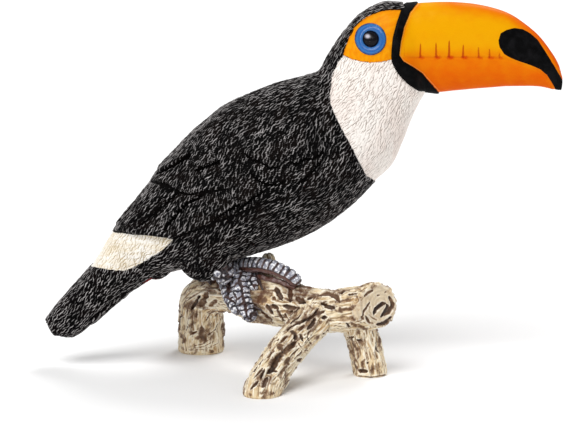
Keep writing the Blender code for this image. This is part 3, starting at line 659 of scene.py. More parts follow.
# ------------------------------------------------------------------ paint
class Net:
    """Small helper that wires a procedural Principled material."""

    def __init__(self, name):
        self.mat = bpy.data.materials.new(name)
        self.mat.use_nodes = True
        self.t = self.mat.node_tree
        self.bsdf = self.t.nodes["Principled BSDF"]

    def node(self, kind, **props):
        nd = self.t.nodes.new(kind)
        for k, v in props.items():
            setattr(nd, k, v)
        return nd

    def put(self, sock, val):
        if isinstance(val, bpy.types.NodeSocket):
            self.t.links.new(val, sock)
        elif isinstance(val, (tuple, list)):
            sock.default_value = tuple(val) + ((1.0,) if len(val) == 3 and sock.type == 'RGBA' else ())
        else:
            sock.default_value = val

    def attr(self, name, vector=False):
        nd = self.node("ShaderNodeAttribute", attribute_name=name)
        return nd.outputs["Vector" if vector else "Fac"]

    def math(self, op, a, b=0.0, c=None, clamp=False):
        nd = self.node("ShaderNodeMath", operation=op, use_clamp=clamp)
        self.put(nd.inputs[0], a)
        self.put(nd.inputs[1], b)
        if c is not None:
            self.put(nd.inputs[2], c)
        return nd.outputs[0]

    def mul(self, a, b):
        return self.math('MULTIPLY', a, b)

    def add(self, a, b):
        return self.math('ADD', a, b)

    def step(self, val, lo, hi, to0=0.0, to1=1.0):
        nd = self.node("ShaderNodeMapRange", interpolation_type='SMOOTHSTEP')
        self.put(nd.inputs["Value"], val)
        nd.inputs["From Min"].default_value = lo
        nd.inputs["From Max"].default_value = hi
        nd.inputs["To Min"].default_value = to0
        nd.inputs["To Max"].default_value = to1
        return nd.outputs["Result"]

    def mix(self, fac, a, b, blend='MIX'):
        nd = self.node("ShaderNodeMix", data_type='RGBA', blend_type=blend)
        self.put(nd.inputs[0], fac)
        self.put(nd.inputs[6], a)
        self.put(nd.inputs[7], b)
        return nd.outputs[2]

    def scaled(self, vec, xyz):
        nd = self.node("ShaderNodeVectorMath", operation='MULTIPLY')
        self.put(nd.inputs[0], vec)
        nd.inputs[1].default_value = xyz
        return nd.outputs[0]

    def noise(self, vec, scale, detail=3.0, rough=0.5, distort=0.0):
        nd = self.node("ShaderNodeTexNoise")
        self.put(nd.inputs["Vector"], vec)
        nd.inputs["Scale"].default_value = scale
        nd.inputs["Detail"].default_value = detail
        nd.inputs["Roughness"].default_value = rough
        nd.inputs["Distortion"].default_value = distort
        return nd.outputs[0]

    def ramp(self, fac, stops):
        nd = self.node("ShaderNodeValToRGB")
        self.put(nd.inputs[0], fac)
        el = nd.color_ramp.elements
        while len(el) < len(stops):
            el.new(0.5)
        for e, (pos, col) in zip(el, stops):
            e.position = pos
            e.color = tuple(col) + (1.0,)
        return nd.outputs[0]

    def place(self):
        """Object position in millimetres."""
        nd = self.node("ShaderNodeTexCoord")
        return self.scaled(nd.outputs["Object"], (1000.0, 1000.0, 1000.0))

    def bump(self, height, depth_mm, strength=1.0):
        nd = self.node("ShaderNodeBump")
        nd.inputs["Strength"].default_value = strength
        nd.inputs["Distance"].default_value = depth_mm * MM
        self.put(nd.inputs["Height"], height)
        self.t.links.new(nd.outputs[0], self.bsdf.inputs["Normal"])

    def done(self, colour, rough, spec=0.5, coat=0.0, coat_rough=0.2):
        self.put(self.bsdf.inputs["Base Color"], colour)
        self.put(self.bsdf.inputs["Roughness"], rough)
        self.bsdf.inputs["Specular IOR Level"].default_value = spec
        self.bsdf.inputs["Coat Weight"].default_value = coat
        self.bsdf.inputs["Coat Roughness"].default_value = coat_rough
        return self.mat


def skin_material():
    n = Net("painted_plumage")
    flow = n.attr("flow", True)
    ridge, cut, cav = n.attr("ridge"), n.attr("cut"), n.attr("cav")
    streak = n.noise(n.scaled(flow, (1.1, 4.2, 1.0)), 1.0, 4.0, 0.62, 0.6)
    patch = n.noise(flow, 0.22, 3.0, 0.6)
    grain = n.noise(flow, 7.0, 2.0, 0.6)
    # black, dry-brushed grey on the ridges
    r = n.add(ridge, n.mul(n.add(streak, -0.5), 0.55))
    brushed = n.step(r, 0.46, 0.92)
    brushed = n.mul(brushed, n.step(patch, 0.30, 0.62, 0.62, 1.0))
    base = n.mix(n.step(n.noise(flow, 0.33, 2.0), 0.42, 0.68), (0.0012, 0.0009, 0.0010), (0.0042, 0.0024, 0.0020))
    black = n.mix(brushed, base, (0.465, 0.440, 0.435))
    # painted shade: the creases and hollows (cav) are darkened to near black, over the dry-brushed grey
    black = n.mix(n.step(cav, 0.01, 0.09, 0.0, 0.72), black, (0.003, 0.0022, 0.0022))
    # off-white bib with a warm lilac wash in the cuts
    wash = n.step(n.add(cut, n.mul(n.add(streak, -0.5), 0.35)), 0.28, 0.85)
    bibc = n.mix(n.step(patch, 0.36, 0.66), (0.900, 0.850, 0.800), (0.860, 0.775, 0.720))
    bibc = n.mix(n.mul(wash, 0.92), bibc, (0.300, 0.235, 0.200))
    rump = n.mix(n.step(n.add(n.mul(patch, 0.5), n.mul(streak, 0.5)), 0.42, 0.60), (0.900, 0.870, 0.820), (0.800, 0.710, 0.560))
    rump = n.mix(n.mul(wash, 0.88), rump, (0.40, 0.29, 0.14))
    # bare orange cheek
    face = n.mix(n.step(n.noise(flow, 1.4, 3.0), 0.35, 0.70), (0.765, 0.240, 0.001), (0.805, 0.315, 0.003))
    wob = n.mul(n.add(streak, -0.5), 0.55)

    def edge(name, width=0.05):
        return n.step(n.add(n.attr(name), wob), -width, width)
    red = n.attr("red")
    col = n.mix(n.mul(red, n.step(n.add(streak, n.mul(red, 0.5)), 0.45, 0.70)), black, (0.200, 0.016, 0.012))
    col = n.mix(edge("rump"), col, rump)
    col = n.mix(edge("bib"), col, bibc)
    rim = n.step(n.attr("face"), 0.22, 0.0)
    face = n.mix(n.mul(rim, 0.40), face, (0.520, 0.130, 0.004))
    col = n.mix(edge("face", 0.04), col, face)
    rough = n.step(edge("face"), 0.0, 1.0, 0.56, 0.36)
    rough = n.add(rough, n.mul(n.add(streak, -0.5), 0.16))
    soft = n.step(edge("face"), 0.0, 1.0, 1.0, 0.15)
    n.bump(n.mul(n.add(streak, n.mul(grain, 0.3)), soft), 0.07, 0.8)
    return n.done(col, rough, 0.035)


# ------------------------------------------------------------------ bill
def build_bill():
    head = rows_at(BODY, np.array([17.0, 17.9]))
    first = []
    for r, g in zip(head, (0.10, 0.13)):
        first.append((r[0] - 0.04, r[1] + g, r[2] + 0.05, r[3] - g, r[4] + g + 0.02, 2.25, 0.05))
    rest = [(b[0], b[1], b[2], b[3], b[4], 2.25, 0.0) for b in BILL]
    table = np.array(first + rest)
    last = len(table) - 1.0
    nu, m = int(250 * Q), int(300 * Q) // 2 * 2
    a = (np.arange(m) / m + 0.5) % 1.0
    zs = [p[1] for p in BAND_REAR][::-1]
    xs = [p[0] for p in BAND_REAR][::-1]
    lo, hi = np.zeros(m), np.full(m, 3.2)
    for _ in range(26):
        mid = 0.5 * (lo + hi)
        C = side_chart(slice_points(rows_at(table, mid), a))
        before = C[..., 0] < np.interp(C[..., 1], zs, xs)
        lo, hi = np.where(before, mid, lo), np.where(before, hi, mid)
    ue = 0.5 * (lo + hi)
    for _ in range(4):
        ue = 0.25 * (np.roll(ue, 1) + np.roll(ue, -1)) + 0.5 * ue
    f = np.linspace(0, 1, nu)
    even = even_rows(table, 1.5, last, [(0, 0.12 / Q), (last, 0.12 / Q)])
    base = np.interp(f, np.linspace(0, 1, len(even)), even)
    U = ue[None] + (base[:, None] - base[0]) / (last - base[0]) * (last - ue[None])
    A2 = np.broadcast_to(a[None], U.shape)
    P = slice_points(rows_at(table, U), A2)
    # blunt rounded tip
    ncap = max(5, int(9 * Q))
    centre, out = P[-1].mean(0), unit(P[-1].mean(0) - P[-4].mean(0))
    out = unit(out + np.array((0.1, 0, -0.35)))
    caps = [centre + (P[-1] - centre) * math.cos(q) + out * 0.32 * math.sin(q)
            for q in (0.5 * math.pi * (k + 0.65) / ncap for k in range(ncap))]
    P = np.concatenate([P, np.array(caps)], 0)
    n = len(P)
    N = grid_normals(P)
    flip = np.sign(np.mean(np.sum(N * (P - P.mean(1, keepdims=True)), -1)))
    N = N * flip
    C = side_chart(P)
    d_rear = line_distance(C, BAND_REAR)[0]
    rowi = np.arange(n)[:, None] * np.ones((1, m))
    fr, sg, _ = line_distance(C, BAND_FRONT)
    d_front = -fr * sg                     # positive behind the front edge
    d_front = np.where(C[..., 0] > 24, -9, d_front)
    collar = smooth(-0.06, 0.10, d_front) * (0.05 + 0.17 * smooth(0.0, 0.22, d_rear))
    groove = -0.05 * np.exp(-((d_front + 0.10) / 0.09) ** 2)
    dm, sm, al = line_distance(C, MOUTH)
    dm = dm * sm                            # positive above the gape
    free = smooth(-0.1, -0.5, d_front)
    mouth = (-0.055 * np.exp(-(dm / 0.13) ** 2) - 0.04 * smooth(0.05, -0.05, dm)) * free
    tick = np.zeros(P.shape[:2])
    foot = np.zeros(P.shape[:2])
    z0 = TICK_FOOT
    for k, (tx, top) in enumerate(TICKS):
        tall = top - z0
        v = np.clip((C[..., 1] - z0) / tall, 0, 1)
        lean = 0.05 * math.sin(k * 2.1)
        wide = 0.165 * (1 - 0.66 * v) + 0.034
        line = np.exp(-((C[..., 0] - tx - lean * v) / wide) ** 2) * smooth(1.0, 0.75, v) \
            * smooth(z0 - 0.12, z0 + 0.05, C[..., 1])
        strong = (0.35, 0.75, 0.8, 0.95, 0.85, 0.7, 0.7, 0.6)[k]
        tick = np.maximum(tick, line * strong)
        smudge = np.exp(-((C[..., 0] - tx - 0.22) / 0.66) ** 2 - ((C[..., 1] - z0 - 0.02) / 0.36) ** 2)
        foot = np.maximum(foot, smudge * strong)
    P = P + (collar + groove + mouth - 0.03 * tick * free
             + 0.022 * waves(P, 4.0, 5, 3))[..., None] * N
    P[..., 2] -= 0.17 * smooth(27.0, 33.0, P[..., 0]) * smooth(0.3, -0.3, dm)
    # tuck the rear rim under the head skin
    rim = []
    for k, (back, sink) in enumerate(((0.30, 0.62), (0.14, 0.34), (0.04, 0.12))):
        along = unit(P[2] - P[0])
        rim.append(P[0] - along * back * 0.5 - N[0] * sink)
    P = np.concatenate([np.array(rim), P], 0)
    pad = lambda F: np.concatenate([np.repeat(F[:1], 3, 0), F], 0)
    N = grid_normals(P) * flip
    C = side_chart(P)
    top_x = [b[0] for b in BILL]
    top_z = [b[1] for b in BILL]
    d_top = np.interp(C[..., 0], top_x, top_z) - P[..., 2]
    dmp = pad(dm)
    low = smooth(0.9, -0.5, dmp)
    hi_tone = 0.95 * np.exp(-(np.clip(d_top, 0, 9) / 1.20) ** 2) * smooth(18.0, 25.0, C[..., 0])
    hi_tone = hi_tone * (0.65 + 0.35 * smooth(30, 36, C[..., 0]))
    glow = 0.42 * smooth(45.6, 43.8, C[..., 1]) + 0.20 * smooth(33.5, 36.5, C[..., 0])
    tone = np.maximum(np.maximum(low * (0.66 + 0.22 * smooth(43.0, 39.5, C[..., 1])), hi_tone), glow)
    edge_tone = 0.35 * smooth(0.9, 0.1, pad(np.abs(d_front)))
    tone = np.maximum(tone, edge_tone) + 0.05 * waves(P, 3.0, 12, 2)
    gape = np.exp(-(dmp / 0.16) ** 2) * smooth(-0.3, -1.2, pad(d_front))
    quads, uv = grid_faces(len(P), m, True)
    pts, nrm = P.reshape(-1, 3), N.reshape(-1, 3)
    tipv = P[-1].mean(0) + out * 0.01
    pts = np.vstack([pts, tipv])
    nrm = np.vstack([nrm, out[None]])
    att = {"tone": tone, "band": pad(d_front), "spot": inside(C, TIP_PATCH), "tick": pad(tick),
           "smudge": pad(foot), "gape": gape}
    att = {k: np.append(v.reshape(-1), v[-1, 0]) for k, v in att.items()}
    b0 = (len(P) - 1) * m
    t = np.stack([b0 + np.arange(m), b0 + (np.arange(m) + 1) % m, np.full(m, len(pts) - 1)], -1)
    u = np.arange(m) / m
    one = np.ones(m)
    tuv = np.stack([np.stack([u, one], -1), np.stack([u + 1 / m, one], -1), np.stack([u, one], -1)], 1)
    if flip < 0:
        quads, uv, t, tuv = quads[:, ::-1], uv[:, ::-1], t[:, ::-1], tuv[:, ::-1]
    ob = make_piece("bill", pts, [quads, t], att, nrm, np.concatenate([uv.reshape(-1, 2), tuv.reshape(-1, 2)]))
    ob.data.materials.append(bill_material())
    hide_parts("bill_upper", "bill_lower")
    return ob


def bill_material():
    n = Net("painted_bill")
    pos = n.place()
    cloud = n.noise(pos, 0.55, 4.0, 0.6, 0.4)
    grain = n.noise(pos, 5.0, 3.0, 0.6)
    tone = n.add(n.attr("tone"), n.mul(n.add(cloud, -0.5), 0.34))
    tone = n.add(tone, n.mul(n.add(grain, -0.5), 0.10))
    col = n.ramp(tone, [(0.0, (0.765, 0.340, 0.0008)), (0.22, (0.755, 0.292, 0.0006)),
                        (0.48, (0.745, 0.208, 0.0006)), (0.80, (0.730, 0.128, 0.0006)),
                        (1.0, (0.690, 0.090, 0.0006))])
    tick = n.step(n.add(n.attr("tick"), n.mul(n.add(grain, -0.5), 0.5)), 0.18, 0.72)
    smudge = n.step(n.add(n.attr("smudge"), n.mul(n.add(grain, -0.5), 0.7)), 0.25, 0.85)
    col = n.mix(n.mul(n.attr("gape"), n.step(cloud, 0.35, 0.65, 0.10, 0.36)), col, (0.580, 0.060, 0.001))
    col = n.mix(n.mul(smudge, 0.86), col, (0.560, 0.040, 0.001))
    col = n.mix(n.mul(tick, 0.84), col, (0.400, 0.030, 0.002))
    wob = n.mul(n.add(n.noise(pos, 1.6, 3.0), -0.5), 0.10)
    # pale line where the orange meets the black collar
    lip = n.step(n.math('ABSOLUTE', n.add(n.add(n.attr("band"), wob), 0.09)), 0.09, 0.0)
    col = n.mix(n.mul(lip, 0.28), col, (0.950, 0.600, 0.200))
    black = n.mix(n.step(cloud, 0.40, 0.72), (0.0018, 0.0018, 0.0020), (0.0070, 0.0068, 0.0076))
    spot = n.step(n.add(n.attr("spot"), wob), -0.03, 0.03)
    band = n.step(n.add(n.attr("band"), wob), -0.025, 0.025)
    dark = n.math('MAXIMUM', spot, band)
    col = n.mix(dark, col, black)
    rough = n.add(n.step(dark, 0.0, 1.0, 0.30, 0.40), n.mul(n.add(cloud, -0.5), 0.12))
    n.bump(n.add(cloud, n.mul(grain, 0.25)), 0.05, 0.55)
    return n.done(col, n.add(rough, 0.06), 0.03, 0.0, 0.25)


# ------------------------------------------------------------------ eyes
EYE_X, EYE_Z = 12.36, 46.13


def build_eyes(P):
    mat_ring, mat_ball = ring_material(), ball_material()
    sub = P[int(len(P) * 0.72):]
    k, m = sub.shape[:2]
    quads, _ = grid_faces(k, m, True)
    tree = BVHTree.FromPolygons([tuple(p) for p in sub.reshape(-1, 3)], [tuple(q) for q in quads.tolist()])
    C = side_chart(sub)
    for label, sgn in (("right", -1.0), ("left", 1.0)):
        d = np.hypot(C[..., 0] - EYE_X, C[..., 1] - EYE_Z) + (np.sign(sub[..., 1]) != sgn) * 99
        i, j = np.unravel_index(np.argmin(d), d.shape)
        E = sub[i, j]
        look = unit(np.array((0.10, sgn, 0.16)))
        ex = unit(np.cross(look, (0, 0, 1.0)) * -sgn)
        ex = ex if ex[0] > 0 else -ex
        ez = np.cross(ex, look) if np.cross(ex, look)[2] > 0 else -np.cross(ex, look)
        side = 72

        def disc(name, prof, mat, attr_r, tall=1.0):
            rows = []
            for r, h in prof:
                q = TAU * np.arange(side) / side
                ring = E + r * (np.cos(q)[:, None] * ex + np.sin(q)[:, None] * ez * tall)
                pts = []
                for p in ring:
                    o = p + look * 4.0
                    hit = tree.ray_cast(Vector(o), Vector(-look))[0]
                    pts.append(np.array(hit) if hit is not None else p)
                pts = np.array(pts)
                lift = np.mean((pts - E) @ look)
                base = pts + look * np.maximum(lift - ((pts - E) @ look), 0.0)[:, None] * (0.32 - 0.32 * smooth(1.15, 1.95, r))
                rows.append(base + look * h)
            G = np.array(rows)
            N = grid_normals(G)
            if np.mean(N @ look) < 0:
                N = -N
            quads, uv = grid_faces(len(rows), side, True)
            v = G.reshape(-1, 3)
            a, b, c = v[quads[0][0]], v[quads[0][1]], v[quads[0][2]]
            pts = np.vstack([v, G[0].mean(0)])
            rad = np.repeat(np.array([r for r, _ in prof]), side)
            rad = np.append(rad, 0.0)
            q = np.tile(TAU * np.arange(side) / side, len(rows))
            gx, gz = rad[:-1] * np.cos(q), rad[:-1] * np.sin(q)
            # painted highlight: a soft pale spot above and behind the pupil's middle, standing in for a reflection
            painted_glint = np.append(np.exp(-((gx + 0.46) / 0.36) ** 2 - ((gz - 0.38) / 0.34) ** 2), 0.14)
            t = np.stack([np.full(side, len(pts) - 1), (np.arange(side) + 1) % side, np.arange(side)], -1)
            f = np.cross(v[quads[side * 3][1]] - v[quads[side * 3][0]], v[quads[side * 3][2]] - v[quads[side * 3][0]])
            if f @ look < 0:
                quads = quads[:, ::-1]
            f = np.cross(pts[t[0][1]] - pts[t[0][0]], pts[t[0][2]] - pts[t[0][0]])
            if f @ look < 0:
                t = t[:, ::-1]
            ob = make_piece(f"{name}_{label}", pts, [quads, t], {attr_r: rad, "painted_glint": painted_glint},
                            np.vstack([N.reshape(-1, 3), look[None]]))
            ob.data.materials.append(mat)
            return ob
        ring = [(1.00, -0.30), (1.04, 0.04), (1.09, 0.20), (1.16, 0.27), (1.26, 0.35), (1.40, 0.43),
                (1.56, 0.47), (1.72, 0.46), (1.86, 0.40), (1.98, 0.30), (2.07, 0.18), (2.13, 0.05),
                (2.17, -0.12), (2.20, -0.40)]
        ring = [(r * 0.985 if r > 1.3 else r, h * 0.80 if h > 0 else h) for r, h in ring]
        ob = disc("eye_ring", ring, mat_ring, "rad", 1.06)
        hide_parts(f"eye_{label}")
        R = 1.30
        ball = [(r, 0.67 - (R - math.sqrt(R * R - r * r)) * 1.05) for r in
                (0.10, 0.22, 0.34, 0.46, 0.58, 0.70, 0.80, 0.88, 0.95, 1.0, 1.04, 1.08)] + [(1.11, -0.3)]
        disc("eye_ball", ball, mat_ball, "rad")


def ring_material():
    n = Net("painted_eye_ring")
    pos = n.place()
    rad = n.attr("rad")
    cloud = n.noise(pos, 1.2, 3.0, 0.6)
    fine = n.noise(pos, 7.0, 2.0, 0.6)
    shade = n.add(n.step(rad, 1.12, 2.15), n.mul(n.add(cloud, -0.5), 0.5))
    col = n.ramp(shade, [(0.0, (0.030, 0.140, 0.390)), (0.40, (0.010, 0.092, 0.340)),
                         (0.75, (0.026, 0.150, 0.430)), (0.93, (0.016, 0.095, 0.300)), (1.0, (0.008, 0.035, 0.110))])
    col = n.mix(n.step(rad, 1.15, 1.08), col, (0.015, 0.035, 0.110))
    n.bump(n.add(cloud, n.mul(fine, 0.2)), 0.03, 0.5)
    return n.done(col, n.add(0.22, n.mul(fine, 0.10)), 0.25, 0.14, 0.18)


def ball_material():
    n = Net("painted_pupil")
    pos = n.place()
    cloud = n.noise(pos, 1.5, 2.0)
    rad = n.attr("rad")
    col = n.mix(cloud, (0.0022, 0.0018, 0.0030), (0.006, 0.0045, 0.007))
    col = n.mix(n.step(rad, 0.96, 1.02), col, (0.004, 0.006, 0.014))
    # painted highlight on the pupil
    col = n.mix(n.step(n.attr("painted_glint"), 0.12, 1.0, 0.0, 0.80), col, (0.640, 0.610, 0.690))
    n.bump(cloud, 0.01, 0.3)
    return n.done(col, n.add(0.20, n.mul(cloud, 0.08)), 0.12, 0.05, 0.10)


# ------------------------------------------------------------------ branch line
BOUGH = np.array([(-11.60, 9.05, -1.5, 3.33), (-11.55, 8.90, 2.4, 3.28),
                  (-11.42, 8.60, 5.6, 3.22), (-10.90, 7.85, 8.1, 3.05),
                  (-9.25, 5.65, 9.15, 2.78), (-6.57, 2.26, 9.46, 2.52),
                  (-2.73, -2.22, 9.84, 3.48), (1.18, -5.30, 9.52, 3.16),
                  (4.60, -6.80, 9.20, 2.95), (8.20, -7.25, 9.20, 3.00),
                  (10.90, -7.35, 9.62, 3.06), (12.65, -8.05, 10.12, 3.08),
                  (13.25, -8.95, 10.35, 3.06)])
GRIP = np.array([(-11.60, 9.05, -1.5, 3.33), (-11.55, 8.90, 2.4, 3.28),
                 (-11.42, 8.60, 5.6, 3.22), (-10.90, 7.85, 8.1, 3.05),
                 (-9.25, 5.65, 9.0, 2.90), (-6.57, 2.26, 9.05, 2.88),
                 (-2.73, -2.22, 9.30, 3.02), (1.18, -5.30, 9.35, 2.94),
                 (4.60, -6.80, 9.20, 2.95), (8.20, -7.25, 9.20, 3.00),
                 (10.90, -7.35, 9.62, 3.06), (12.65, -8.05, 10.12, 3.08),
                 (13.25, -8.95, 10.35, 3.06)])        # the line the toes follow
CUT_FACE = unit(np.array((0.44, -0.89, 0.10)))
FRONT_LEG = np.array([(-2.60, -19.30, -1.4, 2.62), (-2.45, -18.50, 0.9, 2.62),
                      (-0.42, -14.60, 3.6, 2.52), (1.62, -11.70, 5.7, 2.52),
                      (3.50, -9.40, 7.4, 2.62), (4.90, -7.70, 8.8, 2.66)])
RIGHT_LEG = np.array([(12.30, -6.60, -1.2, 2.36), (12.16, -6.45, 1.2, 2.32),
                      (11.62, -6.30, 3.8, 2.28), (11.00, -6.40, 6.2, 2.28),
                      (10.60, -6.90, 8.6, 2.20)])
STUB = np.array([(-1.1, -3.1, 10.6, 1.00), (-1.5, -2.3, 13.4, 0.88), (-1.9, -1.7, 15.6, 0.85)])
TOES_RIGHT = [
    [(-6.7, 14, -0.2), (-5.1, 14, 0.95), (-3.4, 14, 1.50), (-1.7, 14, 1.78), (-0.05, 14, 1.68), (1.3, 14, 1.15),
     (2.1, 14, 0.5), (2.7, 14, -0.2)],
    [(-5.2, -24, 1.8), (-4.4, -34, 0.8), (-3.9, -50, 0.25), (-3.5, -68, 0.2), (-3.2, -88, 0.2)],
    [(-6.7, 13, 0.6), (-5.6, 37, 0.25), (-4.7, 57, 0.2), (-4.0, 74, 0.2), (-3.3, 89, 0.2), (-2.7, 101, 0.1)],
    [(-5.1, 11, 0.5), (-3.7, 38, 0.25), (-2.9, 59, 0.2), (-2.3, 79, 0.2), (-1.75, 98, 0.2), (-1.2, 112, 0.2)],
    [(-4.7, 4, 0.2), (-3.2, 22, 0.0), (-2.3, 38, -0.15), (-1.8, 50, -0.3)],
]
TOE_SIZE = ((1.20, 0.92), (1.10, 0.95), (1.14, 0.92), (1.26, 1.02), (1.00, 0.76))
TOES_LEFT = [
    [(-8.4, -20, 1.7), (-7.8, -40, 0.7), (-7.3, -64, 0.2), (-7.0, -90, 0.2), (-6.8, -116, 0.2)],
    [(-7.8, -8, 1.7), (-6.6, -24, 0.9), (-5.8, -44, 0.3), (-5.5, -66, 0.2), (-5.4, -88, 0.2)],
    [(-8.6, 2, 1.5), (-8.5, 16, 0.6), (-8.3, 30, 0.25), (-8.2, 42, 0.1)],
]
